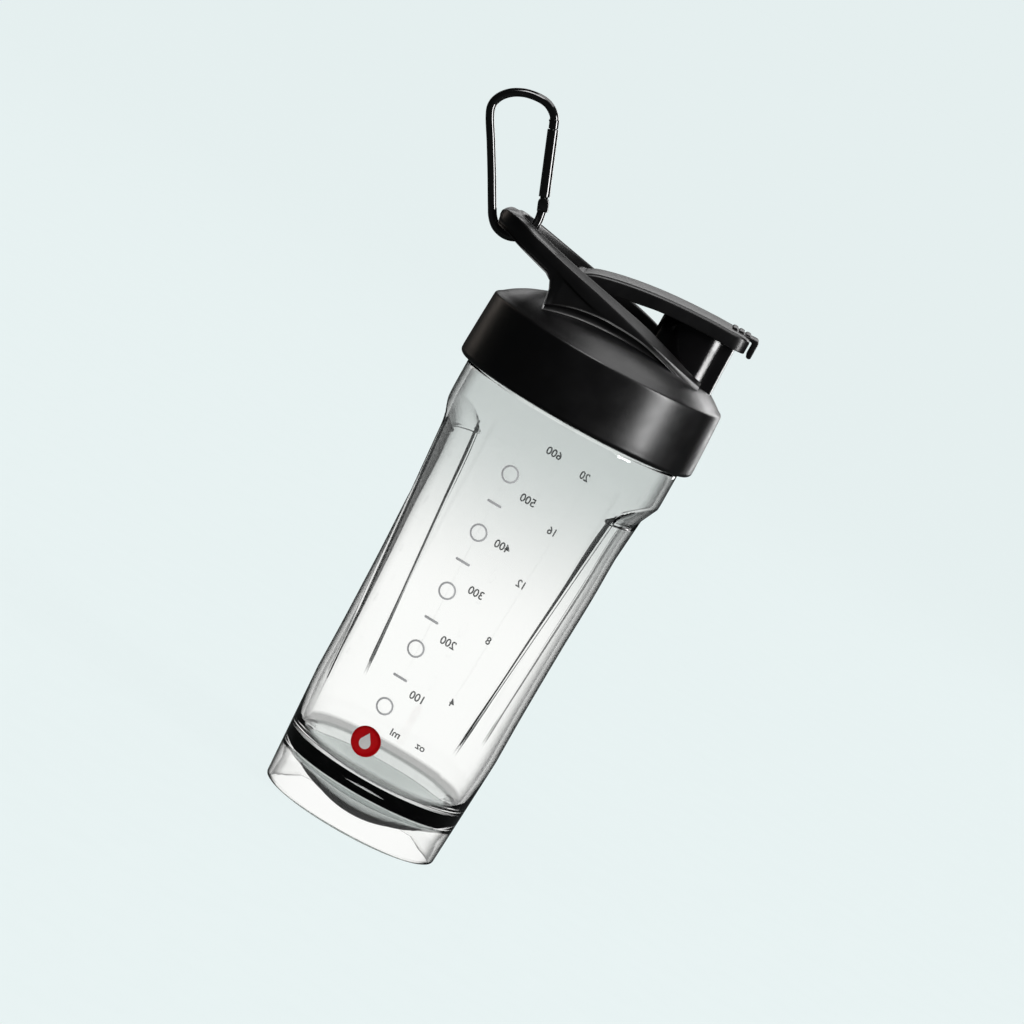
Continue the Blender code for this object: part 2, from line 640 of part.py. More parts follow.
def make_gate_spring(parent):
    """A compression coil in the gate's bore, behind the plunger."""
    low = PLUNGER_HIGH + 0.6
    high = SPRING_BORE_TOP - 0.6
    curve = bpy.data.curves.new("gate_coil", "CURVE")
    curve.dimensions = "3D"
    curve.bevel_depth = COIL_WIRE_R * MM
    curve.bevel_resolution = 0
    curve.use_fill_caps = True
    spline = curve.splines.new("POLY")
    count = COIL_TURNS * COIL_STEPS
    spline.points.add(count)
    for k, knot in enumerate(spline.points):
        turn = 2 * math.pi * k / COIL_STEPS
        z = low + (high - low) * k / count
        knot.co = (COIL_R * math.cos(turn) * MM, COIL_R * math.sin(turn) * MM, z * MM, 1.0)
    from_curve(curve, "gate_spring", parent, STEEL)


clear_scene()
PARTS = collection("protein_shaker_bottle")
CUTTERS = collection("cutters")
CLEAR = material("clear_smoke_plastic", (0.80, 0.83, 0.83), 0.05, alpha=0.35)
BLACK = material("satin_black_plastic", (0.022, 0.021, 0.023), 0.38)
GLOSS_BLACK = material("gloss_black_anodised", (0.012, 0.012, 0.013), 0.18, 0.6)
SILICONE = material("grey_silicone", (0.16, 0.16, 0.17), 0.6)
GREY_PLASTIC = material("grey_plastic", (0.28, 0.29, 0.30), 0.4)
STEEL = material("steel", (0.60, 0.61, 0.62), 0.3, 1.0)
AXIS = empty("bottle_axis", (AXIS_X, 0.0))
CAP_AXIS = empty("cap_hinge_axis", (HINGE_X, HINGE_Z), AXIS)
CLIP_AXIS = empty("clip_swing_axis", (SWING_X, SWING_Z), AXIS)

make_bottle()
make_mixing_grid()
make_seal()
make_lid()
make_carry_loop()
make_flip_cap()
make_clip()
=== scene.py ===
"""The looks of the protein shaker bottle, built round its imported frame.

Lengths are in millimetres about the bottle's own axis, as in the design, and MM turns them into metres.
"""
import math

import bmesh
import bpy
from mathutils import Matrix, Vector


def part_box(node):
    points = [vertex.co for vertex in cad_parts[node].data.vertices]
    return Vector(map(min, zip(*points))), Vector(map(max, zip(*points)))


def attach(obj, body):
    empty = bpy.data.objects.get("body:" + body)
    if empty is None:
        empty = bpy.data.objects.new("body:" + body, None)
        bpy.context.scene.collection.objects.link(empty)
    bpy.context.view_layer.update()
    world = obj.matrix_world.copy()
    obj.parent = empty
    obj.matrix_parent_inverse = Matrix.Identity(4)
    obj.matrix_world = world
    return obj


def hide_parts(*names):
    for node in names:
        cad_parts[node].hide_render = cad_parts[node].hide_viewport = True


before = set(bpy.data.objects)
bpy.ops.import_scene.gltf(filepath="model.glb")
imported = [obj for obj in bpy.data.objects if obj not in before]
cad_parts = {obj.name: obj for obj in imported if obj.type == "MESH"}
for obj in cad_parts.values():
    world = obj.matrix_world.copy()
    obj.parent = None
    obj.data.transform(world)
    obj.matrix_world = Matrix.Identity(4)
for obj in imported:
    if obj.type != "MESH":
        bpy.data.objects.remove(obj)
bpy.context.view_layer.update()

MM = 0.001
SEAL_LOW, SEAL_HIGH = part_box("lid_seal")
AXIS_X = (SEAL_LOW.x + SEAL_HIGH.x) / 2 / MM

# Camera, in metres and degrees
LENS = 168.75
SENSOR = 36.0
CAMERA_PLACE = (0.01554, -1.824, 0.3621)
CAMERA_DOWN = 7.12
CAMERA_ROLL = 29.21

# Set, in metres and watts
PALE = (0.783, 0.863, 0.863)
WHITE_CARD = (1.0, 1.0, 0.99)
ROOM_LIGHT = 0.02
FLOOR_RADIUS = 40.0
FLOOR_DROP = 0.0002
NEUTRAL = (1.0, 1.0, 1.0)
WARM = (1.0, 0.88, 0.78)
LIGHT_TARGET = (0.0, 0.0, 0.2)
FRONT_TARGET = (0.0, 0.0, 0.1)
SOFTBOXES = (("top", (0.25, 0.0, 1.7), LIGHT_TARGET, (1.6, 1.0), 12.0, NEUTRAL),
             ("front", (-0.4, -1.3, 1.9), FRONT_TARGET, (0.9, 0.9), 22.0, NEUTRAL),
             ("right", (1.32, -0.64, 0.62), LIGHT_TARGET, (0.42, 1.1), 30.0, NEUTRAL),
             ("right_back", (0.75, 1.5, 0.5), LIGHT_TARGET, (0.25, 1.2), 5.0, NEUTRAL),
             ("left_back", (-1.2, 1.2, 0.5), LIGHT_TARGET, (0.4, 1.2), 1.0, WARM),
             ("back", (0.3, 1.7, 1.0), LIGHT_TARGET, (2.0, 0.8), 8.0, NEUTRAL))

# Clear plastic: its own near-clear tint, the painted shade that greys it towards the neck, the floor's tint,
# the near-black painted shade where a wall is seen edge on, and where they take over
CLEAR_IOR = 1.46
CLEAR_TINT = (0.985, 0.99, 0.985)
NECK_SHADE_TINT = (0.745, 0.775, 0.77)
NECK_SHADE_FROM, NECK_SHADE_TO = 0.090, 0.175
FLOOR_TINT = (0.56, 0.60, 0.59, 1.0)
EDGE_SHADE = (0.012, 0.013, 0.013, 1.0)
EDGE_SHADE_FROM, EDGE_SHADE_TO = 0.50, 0.84

# Bottle
BASE_R = 36.5
BAND_R = 45.7
BAND_Z = 165.0
NECK_R = 44.6
MOUTH_Z = 199.0
SHOULDER_Z = 177.2
WALL = 2.4
FLOOR_Z = 2.4
FLOOR_JOIN_R = 34.0
FLOOR_JOIN_Z = 16.4
FLOOR_T = 5.0
FLOOR_TOP_R = 35.0
FLOOR_TOP_Z = 23.2
INSIDE_FROM_Z = 44.5
BOTTLE_YAW = -11.8

# Side grips
GRIP_LOW_Z = 46.0
GRIP_LEDGE_Z = 151.2
GRIP_DEEP_Z = 152.6
GRIP_TOP_Z = 163.0
GRIP_RAMP_DEPTH = 4.2
GRIP_DEPTHS = ((46.0, 0.0), (65.0, 1.0), (81.0, 1.6), (96.0, 2.1), (120.0, 2.6), (143.0, 3.5), (151.2, 3.2))
GRIP_LOW_HALF = 41.5
GRIP_TOP_HALF = 30.0
GRIP_STEP = 1.8

# Painted shade: a dark line along a grip's edge and round the floor's corner
CREASE_OUTSIDE = 0.6
CREASE_NARROWEST = 0.3
CREASE_FULL_DEPTH = 1.5
CREASE_DARK_DEPTH = 0.25
CORNER_CREASE = 0.8

# Screw thread
THREAD_LEAD = 12.0
THREAD_STARTS = 2
THREAD_TURN = 234.0
THREAD_Z = 183.6
NECK_RIDGE = 1.4
LID_RIDGE = 1.8
RIDGE_ROOT_HALF = 1.25
RIDGE_CREST_HALF = 0.55
RIDGE_SUNK = 0.9
RIDGE_START = 0.45
RIDGE_RUN_IN = 1 / 8

# Print: heights are of the capitals, and places are heights on the wall
INK_HALF = 0.02
INK_LIFT = 0.06
INK_WEIGHT = 0.020
CAPITAL_SHARE = 0.72
ML_ANGLE, ML_HEIGHT = 89.2, 3.3
ML_MARKS = (("600", 156.9), ("500", 135.9), ("400", 115.2), ("300", 94.2), ("200", 71.7), ("100", 46.9))
OZ_ANGLE, OZ_HEIGHT = 69.3, 3.2
OZ_MARKS = (("20", 155.1), ("16", 130.1), ("12", 106.1), ("8", 80.5), ("4", 52.2))
ML_UNIT_ANGLE, ML_UNIT_Z = 90.2, 29.8
OZ_UNIT_ANGLE, OZ_UNIT_Z = 72.2, 30.3
FRONT_ANGLE = -103.0
FRONT_SHAPES = 9
FRONT_LOW_Z = 51.0
FRONT_PITCH = 12.6
FRONT_RING_R, FRONT_HOLE_R = 3.5, 2.75
FRONT_BAR_HALF, FRONT_BAR_R = 2.6, 0.5
DISC_R = 6.0
DISC_Z = 35.5
DROP_TOP, DROP_LOW, DROP_R = 3.6, 0.7, 2.3
DROP_LIFT = 0.05

# Lid
LID_LOW_Z = 179.0
LID_R = 50.2
LID_EDGE_R = 49.3
LID_INNER_R = 46.9
SEAT_Z = 202.6
DOME = ((0.0, 218.0), (12.0, 217.8), (20.0, 217.3), (28.4, 216.0), (35.0, 213.7), (40.0, 211.5),
        (44.5, 208.8), (47.4, 206.6))
DECK_T = 2.5

# Spout and flip cap
SPOUT_X = 26.2
SPOUT_R = 15.1
SPOUT_BORE_R = 13.1
SPOUT_TOP_Z = 232.3
HINGE_X = -24.0
HINGE_Z = 225.0
BARREL_R = 3.3
BARREL_HALF = 23.4
CAP_END_X = 44.6
CAP_HALF = 17.4
CAP_CORNER = 6.0
CAP_WALL = 1.7
CAP_PLATE = 1.9
CAP_ROUND = 1.5
CAP_WAIST_X = 6.0
CAP_WAIST = 0.6
CAP_CROWN = 0.35
CAP_COLUMNS = 12
CAP_TOP = ((-24.0, 228.1), (-20.5, 230.2), (-14.0, 232.2), (-6.5, 233.8), (1.0, 235.0), (8.6, 235.9),
           (16.0, 236.5), (24.0, 236.9), (31.0, 237.1), (38.7, 237.1), (CAP_END_X, 236.9))
CAP_UNDER = ((-24.0, 222.2), (-20.5, 223.0), (-14.0, 225.4), (-6.5, 227.4), (1.0, 228.7), (8.6, 230.0),
             (16.0, 230.6), (31.0, 231.2), (CAP_END_X, 231.2))
TAB_HALF = 7.5
TAB = ((33.2, 236.5), (33.8, 237.1), (45.9, 237.8), (47.0, 237.8), (47.7, 237.3), (47.9, 236.6),
       (47.9, 230.8), (47.6, 230.2), (46.8, 230.0), (46.0, 230.3), (45.8, 231.0), (45.8, 235.4),
       (45.4, 236.0), (44.8, 236.2), (43.6, 236.2))
TOOTH_PLACES = (36.2, 39.0, 41.8)
TOOTH = ((0.0, 236.4), (0.0, 237.9), (0.5, 238.3), (1.8, 238.3), (2.3, 237.9), (2.3, 236.4))

# Carry loop: outer and inner half width over x, and the heights of its edges over x
LOOP_OUTER = ((-62.0, 0.0), (-61.0, 9.0), (-58.0, 16.0), (-53.0, 21.5), (-46.0, 26.0), (-30.0, 30.2),
              (-15.0, 32.3), (-2.0, 33.0), (10.0, 31.8), (20.0, 28.6), (30.0, 23.5), (36.0, 19.8))
LOOP_INNER = ((-54.8, 0.0), (-53.8, 7.0), (-50.4, 13.0), (-44.0, 17.8), (-30.0, 23.4), (-15.0, 25.8),
              (-2.0, 26.4), (10.0, 25.0), (20.0, 22.0), (30.0, 18.0), (36.0, 14.9))
LOOP_HIGH = ((-62.6, 234.6), (-60.5, 236.6), (-57.5, 237.0), (-53.5, 236.6), (-48.7, 235.5), (-30.0, 231.4),
             (-6.5, 226.6), (8.5, 223.2), (23.6, 218.2), (31.0, 215.5), (36.0, 214.2))
LOOP_SHOULDER = ((-62.6, 233.2), (-60.5, 235.3), (-57.5, 235.4), (-43.8, 232.6), (-28.9, 229.2),
                 (-13.9, 226.0), (1.0, 222.2), (16.0, 218.2), (31.0, 214.2), (36.0, 213.0))
LOOP_LEDGE = ((-62.6, 231.6), (-60.5, 230.6), (-55.7, 230.7), (-43.8, 228.3), (-31.4, 225.0), (-16.4, 220.6),
              (-6.4, 219.2), (1.0, 218.9), (8.5, 218.2), (18.5, 215.9), (28.5, 212.4), (36.0, 209.6))
LOOP_ARCH = ((-30.0, 212.5), (-28.0, 213.7), (-21.0, 216.3), (-14.0, 217.7), (-6.0, 218.5), (1.0, 218.8),
             (8.5, 218.2), (18.5, 215.9), (24.7, 214.3), (28.5, 213.0), (36.0, 209.0))
LOOP_SET_IN = ((-34.0, 0.9), (-27.0, 1.3), (-18.0, 2.1), (20.0, 2.0), (30.0, 0.7))
LOOP_BEAD = 0.6
LOOP_SHELF = ((-34.0, 0.4), (-27.0, 0.9), (-15.0, 0.8), (-6.0, 0.15), (36.0, 0.1))
LOOP_LOW = ((-62.6, 231.2), (-60.5, 229.9), (-57.5, 229.2), (-51.5, 228.4), (-32.0, 223.0), (-29.3, 221.1),
            (-28.3, 218.0), (-27.8, 205.0), (36.0, 205.0))

# Clip: the gate's own lengths run from its pivot to its tip
WIRE_R = 1.72
CLIP_WIRE = ((-62.6, 274.9), (-66.0, 277.0), (-70.2, 277.5), (-75.6, 276.6), (-80.2, 274.3), (-83.5, 270.8),
             (-84.7, 266.8), (-83.3, 262.4), (-78.2, 254.0), (-72.2, 243.8), (-66.4, 233.6), (-63.8, 229.4),
             (-60.7, 226.7), (-56.6, 225.8), (-52.8, 226.8), (-49.9, 229.6), (-48.2, 233.4), (-48.0, 237.0))
PIVOT_X = -49.6
PIVOT_Z = 243.6
GATE_TIP_X = -60.4
GATE_TIP_Z = 271.0
GATE_R = 2.15
NOSE_LENGTH = 1.2
NOSE_SLOT = 1.0
NOSE_SLOT_PAST = 1.4
TIP_HALF = 1.3
TIP_PAST = 0.8
HINGE_SLOT = 1.0
HINGE_SLOT_LOW = -2.0
HINGE_R = 2.08
HINGE_LOW = -3.6
TONGUE_HALF = 1.45
TONGUE_LOW = -1.4
TONGUE_HIGH = 4.0
GATE_LOW = 2.2
CUT_HALF = 3.0


# ---------------------------------------------------------------- helpers

def point(x, y, z):
    """A place in the frame from millimetres about the bottle's axis."""
    return Vector(((x + AXIS_X) * MM, y * MM, z * MM))


def between(points, at):
    """Straight-line value at a place, from (place, value) points in rising order."""
    if at <= points[0][0]:
        return points[0][1]
    for (a, va), (b, vb) in zip(points, points[1:]):
        if at <= b:
            return va + (vb - va) * (at - a) / (b - a)
    return points[-1][1]


def curve_through(points, at):
    """Smooth value at a place: a cubic, without overshoot, through (place, value) points in rising order."""
    if at <= points[0][0]:
        return points[0][1]
    slopes = [(b[1] - a[1]) / (b[0] - a[0]) for a, b in zip(points, points[1:])]
    for k, (start, end) in enumerate(zip(points, points[1:])):
        if at <= end[0]:
            width = end[0] - start[0]
            before = slopes[k - 1] if k else slopes[k]
            after = slopes[k + 1] if k + 1 < len(slopes) else slopes[k]
            first = (before + slopes[k]) / 2 if before * slopes[k] > 0 else 0.0
            last = (after + slopes[k]) / 2 if after * slopes[k] > 0 else 0.0
            t = (at - start[0]) / width
            return (start[1] * (2 * t ** 3 - 3 * t ** 2 + 1) + end[1] * (3 * t ** 2 - 2 * t ** 3)
                    + width * (first * (t ** 3 - 2 * t ** 2 + t) + last * (t ** 3 - t ** 2)))
    return points[-1][1]


def smooth_path(points, count):
    """Points along a Catmull-Rom curve through the given vectors, count steps to each span."""
    ends = [2 * points[0] - points[1]] + points + [2 * points[-1] - points[-2]]
    path = []
    for a, b, c, d in zip(ends, ends[1:], ends[2:], ends[3:]):
        for step in range(count):
            t = step / count
            path.append(0.5 * (2 * b + (c - a) * t + (2 * a - 5 * b + 4 * c - d) * t ** 2
                               + (3 * b - a - 3 * c + d) * t ** 3))
    return path + [points[-1]]


def finished(obj, material, body, slot=None, *nodes, sharp=35):
    """Gives a piece its material and body, and hides the CAD nodes it stands for if it has them; the slot is
    not used.
    """
    obj.data.materials.clear()
    obj.data.materials.append(material)
    if obj.type == "MESH":
        obj.data.shade_smooth()
        obj.data.set_sharp_from_angle(angle=math.radians(sharp))
    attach(obj, body)
    if nodes:
        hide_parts(*nodes)


def object_from(bm, name, weld=True):
    """Turns a bmesh into an object in the scene, with its coincident vertices joined if weld is set."""
    if weld:
        bmesh.ops.remove_doubles(bm, verts=bm.verts, dist=0.002 * MM)
    bmesh.ops.recalc_face_normals(bm, faces=bm.faces)
    mesh = bpy.data.meshes.new(name)
    bm.to_mesh(mesh)
    bm.free()
    obj = bpy.data.objects.new(name, mesh)
    bpy.context.scene.collection.objects.link(obj)
    return obj


def turned(name, profile, steps, x=0.0):
    """A solid turned about the vertical through (x, 0), from (radius, z) points from that axis and back."""
    bm = bmesh.new()
    rings = []
    for r, z in profile:
        if r == 0.0:
            rings.append([bm.verts.new(point(x, 0.0, z))] * steps)
            continue
        turns = [2 * math.pi * k / steps for k in range(steps)]
        rings.append([bm.verts.new(point(x + r * math.cos(t), r * math.sin(t), z)) for t in turns])
    for upper, lower in zip(rings, rings[1:]):
        for k in range(steps):
            j = (k + 1) % steps
            corners = list(dict.fromkeys((upper[k], upper[j], lower[j], lower[k])))
            if len(corners) > 2:
                bm.faces.new(corners)
    return object_from(bm, name)


def arc(centre, radius, start, end, count):
    """(a, b) points on an arc, angles in degrees."""
    turns = [math.radians(start + (end - start) * k / count) for k in range(count + 1)]
    return [(centre[0] + radius * math.cos(t), centre[1] + radius * math.sin(t)) for t in turns]


def boolean(obj, operation, other):
    """Applies a Boolean with another object, which is used up."""
    step = obj.modifiers.new("cut", "BOOLEAN")
    step.operation = operation
    step.solver = "EXACT"
    step.object = other
    bake(obj)
    bpy.data.objects.remove(other, do_unlink=True)


def bake(obj):
    """Applies an object's modifiers to its mesh."""
    bpy.context.view_layer.update()
    shape = obj.evaluated_get(bpy.context.evaluated_depsgraph_get())
    mesh = bpy.data.meshes.new_from_object(shape)
    obj.modifiers.clear()
    obj.data = mesh


def bevel(obj, width, segments=3, angle=30.0):
    """Rounds the edges that are sharper than an angle in degrees."""
    step = obj.modifiers.new("round", "BEVEL")
    step.width = width * MM
    step.segments = segments
    step.limit_method = "ANGLE"
    step.angle_limit = math.radians(angle)
    bake(obj)


def side_plate(name, outline, half):
    """A plate across the plane of symmetry, from one closed (x, z) outline."""
    bm = bmesh.new()
    near = [bm.verts.new(point(x, -half, z)) for x, z in outline]
    far = [bm.verts.new(point(x, half, z)) for x, z in outline]
    bm.faces.new(near)
    bm.faces.new(list(reversed(far)))
    for k in range(len(outline)):
        j = (k + 1) % len(outline)
        bm.faces.new((near[k], near[j], far[j], far[k]))
    return object_from(bm, name)


def tube(name, path, radius, resolution=5):
    """A round rod along a path of points in millimetres in the plane of symmetry, as a mesh."""
    curve = bpy.data.curves.new(name, "CURVE")
    curve.dimensions = "3D"
    curve.bevel_depth = radius * MM
    curve.bevel_resolution = resolution
    curve.use_fill_caps = True
    spline = curve.splines.new("POLY")
    spline.points.add(len(path) - 1)
    for knot, place in zip(spline.points, path):
        knot.co = (*point(*place), 1.0)
    guide = bpy.data.objects.new(name + "_guide", curve)
    bpy.context.scene.collection.objects.link(guide)
    bpy.context.view_layer.update()
    shape = guide.evaluated_get(bpy.context.evaluated_depsgraph_get())
    bm = bmesh.new()
    mesh = bpy.data.meshes.new_from_object(shape)
    bm.from_mesh(mesh)
    bpy.data.objects.remove(guide, do_unlink=True)
    return object_from(bm, name)


# ---------------------------------------------------------------- materials

def node_of(tree, kind, **values):
    """A new shader node with some of its properties set."""
    made = tree.nodes.new(kind)
    for name, value in values.items():
        setattr(made, name, value)
    return made


def noise(tree, scale, detail=4.0):
    """A noise texture in the object's own coordinates, scale being features per metre."""
    place = node_of(tree, "ShaderNodeTexCoord")
    texture = node_of(tree, "ShaderNodeTexNoise")
    texture.inputs["Scale"].default_value = scale
    texture.inputs["Detail"].default_value = detail
    tree.links.new(place.outputs["Object"], texture.inputs["Vector"])
    return texture.outputs["Fac"]


def ranged(tree, source, low, high):
    """Maps a 0.3 to 0.7 noise value to a range."""
    ramp = node_of(tree, "ShaderNodeMapRange")
    ramp.inputs["From Min"].default_value = 0.3
    ramp.inputs["From Max"].default_value = 0.7
    ramp.inputs["To Min"].default_value = low
    ramp.inputs["To Max"].default_value = high
    tree.links.new(source, ramp.inputs["Value"])
    return ramp.outputs["Result"]


def blended(tree, factor, first, second):
    """A colour that goes from first to second as the factor goes from zero to one."""
    mix = node_of(tree, "ShaderNodeMix", data_type="RGBA")
    mix.inputs[6].default_value = (*first, 1.0)
    mix.inputs[7].default_value = (*second, 1.0)
    tree.links.new(factor, mix.inputs[0])
    return mix.outputs[2]


def moulded(name, dark, light, roughness, grain, depth, metallic=0.0, coat=0.0, specular=0.5):
    """A moulded or finished surface: a faint cloud of two colours, uneven gloss and a fine grain."""
    made = bpy.data.materials.new(name)
    made.use_nodes = True
    tree = made.node_tree
    shader = tree.nodes["Principled BSDF"]
    shader.inputs["Metallic"].default_value = metallic
    shader.inputs["Specular IOR Level"].default_value = specular
    shader.inputs["Coat Weight"].default_value = coat
    shader.inputs["Coat Roughness"].default_value = 0.06
    cloud = ranged(tree, noise(tree, 60.0), 0.0, 1.0)
    tree.links.new(blended(tree, cloud, dark, light), shader.inputs["Base Color"])
    tree.links.new(ranged(tree, noise(tree, 140.0), *roughness), shader.inputs["Roughness"])
    bump = node_of(tree, "ShaderNodeBump")
    bump.inputs["Strength"].default_value = depth
    bump.inputs["Distance"].default_value = 0.0001
    tree.links.new(noise(tree, grain, 3.0), bump.inputs["Height"])
    tree.links.new(bump.outputs["Normal"], shader.inputs["Normal"])
    return made


def height_in(tree):
    """The height above the ground, in metres."""
    place = node_of(tree, "ShaderNodeTexCoord")
    split = node_of(tree, "ShaderNodeSeparateXYZ")
    tree.links.new(place.outputs["Object"], split.inputs["Vector"])
    return split.outputs["Z"]


def inside_radius(tree, x, radius):
    """One within a radius of the vertical through (x, 0) about the bottle's axis, and zero outside it."""
    place = node_of(tree, "ShaderNodeTexCoord")
    offset = node_of(tree, "ShaderNodeVectorMath", operation="SUBTRACT")
    offset.inputs[1].default_value = point(x, 0.0, 0.0)
    flat = node_of(tree, "ShaderNodeVectorMath", operation="MULTIPLY")
    flat.inputs[1].default_value = (1.0, 1.0, 0.0)
    reach = node_of(tree, "ShaderNodeVectorMath", operation="LENGTH")
    inside = node_of(tree, "ShaderNodeMath", operation="LESS_THAN")
    inside.inputs[1].default_value = radius * MM
    tree.links.new(place.outputs["Object"], offset.inputs[0])
    tree.links.new(offset.outputs["Vector"], flat.inputs[0])
    tree.links.new(flat.outputs["Vector"], reach.inputs[0])
    tree.links.new(reach.outputs["Value"], inside.inputs[0])
    return inside.outputs["Value"]


def polished_spout(material):
    """Makes the lid's material much glossier on the spout than on the rest."""
    tree = material.node_tree
    rough = tree.nodes["Principled BSDF"].inputs["Roughness"]
    share = node_of(tree, "ShaderNodeMapRange")
    share.inputs["To Min"].default_value = 1.0
    share.inputs["To Max"].default_value = 0.35
    tree.links.new(inside_radius(tree, SPOUT_X, SPOUT_R + 0.7), share.inputs["Value"])
    gloss = node_of(tree, "ShaderNodeMath", operation="MULTIPLY")
    tree.links.new(rough.links[0].from_socket, gloss.inputs[0])
    tree.links.new(share.outputs["Result"], gloss.inputs[1])
    tree.links.new(gloss.outputs["Value"], rough)


def clear_plastic():
    """Clear smoked plastic with painted shade: greyer towards the neck, and much darker where the wall is
    seen edge on and along the grip edges.
    """
    made = bpy.data.materials.new("clear_smoke_plastic")
    made.use_nodes = True
    tree = made.node_tree
    shader = tree.nodes["Principled BSDF"]
    shader.inputs["Transmission Weight"].default_value = 1.0
    shader.inputs["IOR"].default_value = CLEAR_IOR
    # Painted shade: the wall turns near black where it is seen edge on, in place of the dark outlines that
    # clear plastic shows
    facing = node_of(tree, "ShaderNodeLayerWeight")
    facing.inputs["Blend"].default_value = 0.5
    edge = node_of(tree, "ShaderNodeMapRange", interpolation_type="SMOOTHSTEP")
    edge.inputs["From Min"].default_value = EDGE_SHADE_FROM
    edge.inputs["From Max"].default_value = EDGE_SHADE_TO
    tree.links.new(facing.outputs["Facing"], edge.inputs["Value"])
    # Painted shade: the wall goes from its clear tint to grey towards the neck, where the lid shades the
    # inside of the bottle
    height = node_of(tree, "ShaderNodeMapRange", interpolation_type="SMOOTHSTEP")
    height.inputs["From Min"].default_value = NECK_SHADE_FROM
    height.inputs["From Max"].default_value = NECK_SHADE_TO
    tree.links.new(height_in(tree), height.inputs["Value"])
    wall_tint_with_neck_shade = blended(tree, height.outputs["Result"], CLEAR_TINT, NECK_SHADE_TINT)
    tint = node_of(tree, "ShaderNodeMix", data_type="RGBA")
    tint.inputs[7].default_value = FLOOR_TINT
    tree.links.new(inside_radius(tree, 0.0, FLOOR_JOIN_R - 0.2), tint.inputs[0])
    tree.links.new(wall_tint_with_neck_shade, tint.inputs[6])
    # Painted shade: the stronger of the edge-on shade and the crease shade mixes the colour towards near
    # black
    darkened = node_of(tree, "ShaderNodeMix", data_type="RGBA")
    darkened.inputs[7].default_value = EDGE_SHADE
    # Painted shade kept on the vertices: the dark line along the grip edges and round the floor's corner
    painted_crease_shade = node_of(tree, "ShaderNodeAttribute", attribute_name="painted_crease_shade")
    darkest = node_of(tree, "ShaderNodeMath", operation="MAXIMUM")
    tree.links.new(edge.outputs["Result"], darkest.inputs[0])
    tree.links.new(painted_crease_shade.outputs["Fac"], darkest.inputs[1])
    tree.links.new(darkest.outputs["Value"], darkened.inputs[0])
    tree.links.new(tint.outputs[2], darkened.inputs[6])
    tree.links.new(darkened.outputs[2], shader.inputs["Base Color"])
    tree.links.new(ranged(tree, noise(tree, 90.0), 0.0, 0.03), shader.inputs["Roughness"])
    bump = node_of(tree, "ShaderNodeBump")
    bump.inputs["Strength"].default_value = 0.03
    bump.inputs["Distance"].default_value = 0.0002
    tree.links.new(noise(tree, 45.0, 2.0), bump.inputs["Height"])
    tree.links.new(bump.outputs["Normal"], shader.inputs["Normal"])
    return made


CLEAR = clear_plastic()
SOOT, SOFT_BLACK = (0.0018, 0.0017, 0.0019), (0.0034, 0.0032, 0.0035)
BLACK = moulded("satin_black_plastic", SOOT, SOFT_BLACK, (0.30, 0.38), grain=2600.0, depth=0.22)
LID_BLACK = moulded("lid_black_plastic", SOOT, SOFT_BLACK, (0.29, 0.36), grain=2600.0, depth=0.22)
polished_spout(LID_BLACK)
CLIP_BLACK = moulded("gloss_black_anodised", (0.003, 0.003, 0.003), (0.005, 0.005, 0.005), (0.10, 0.15),
                     grain=900.0, depth=0.04, coat=0.8)
SILICONE = moulded("grey_silicone", (0.14, 0.14, 0.15), (0.18, 0.18, 0.19), (0.55, 0.65), grain=1500.0,
                   depth=0.2)
GREY_PLASTIC = moulded("grey_plastic", (0.25, 0.26, 0.27), (0.30, 0.31, 0.32), (0.36, 0.44), grain=2000.0,
                       depth=0.2)
STEEL = moulded("steel", (0.52, 0.53, 0.54), (0.64, 0.65, 0.66), (0.22, 0.34), grain=1800.0, depth=0.15,
                metallic=1.0)
MARK_INK = moulded("dark_grey_ink", (0.070, 0.075, 0.078), (0.110, 0.115, 0.118), (0.5, 0.6), grain=3000.0,
                   depth=0.3, specular=0.1)
SILVER_INK = moulded("silver_grey_ink", (0.66, 0.67, 0.68), (0.76, 0.77, 0.78), (0.3, 0.42), grain=3000.0,
                     depth=0.3)
RED_INK = moulded("deep_red_ink", (0.42, 0.001, 0.003), (0.50, 0.002, 0.005), (0.5, 0.6), grain=3000.0,
                  depth=0.3, specular=0.05)
WHITE_INK = moulded("white_ink", (0.86, 0.84, 0.83), (0.92, 0.91, 0.90), (0.5, 0.6), grain=3000.0,
                    depth=0.3, specular=0.1)


# ---------------------------------------------------------------- bottle

def wall_radius(z):
    """Outer radius of the plain wall at a height."""
    return BASE_R + (BAND_R - BASE_R) * min(z, BAND_Z) / BAND_Z


def grip_half_angle(z):
    """Angle from a side grip's middle to its edge, in degrees."""
    share = min(max((z - GRIP_LOW_Z) / (GRIP_TOP_Z - GRIP_LOW_Z), 0.0), 1.0)
    return GRIP_LOW_HALF + (GRIP_TOP_HALF - GRIP_LOW_HALF) * share


def grip_depth(z, angle):
    """Depth of a side grip at an angle from its middle, in degrees."""
    half = grip_half_angle(z)
    if z <= GRIP_LOW_Z or z >= GRIP_TOP_Z or angle >= half:
        return 0.0
    t = min((half - angle) / GRIP_STEP, 1.0)
    step = t * t * (3 - 2 * t)
    if z <= GRIP_LEDGE_Z:
        return curve_through(GRIP_DEPTHS, z) * step
    across = angle / half
    up = max(z - GRIP_DEEP_Z, 0.0) / (GRIP_TOP_Z - GRIP_DEEP_Z)
    return GRIP_RAMP_DEPTH * max(1.0 - up / math.sqrt(1.0 - across ** 2), 0.0) * step


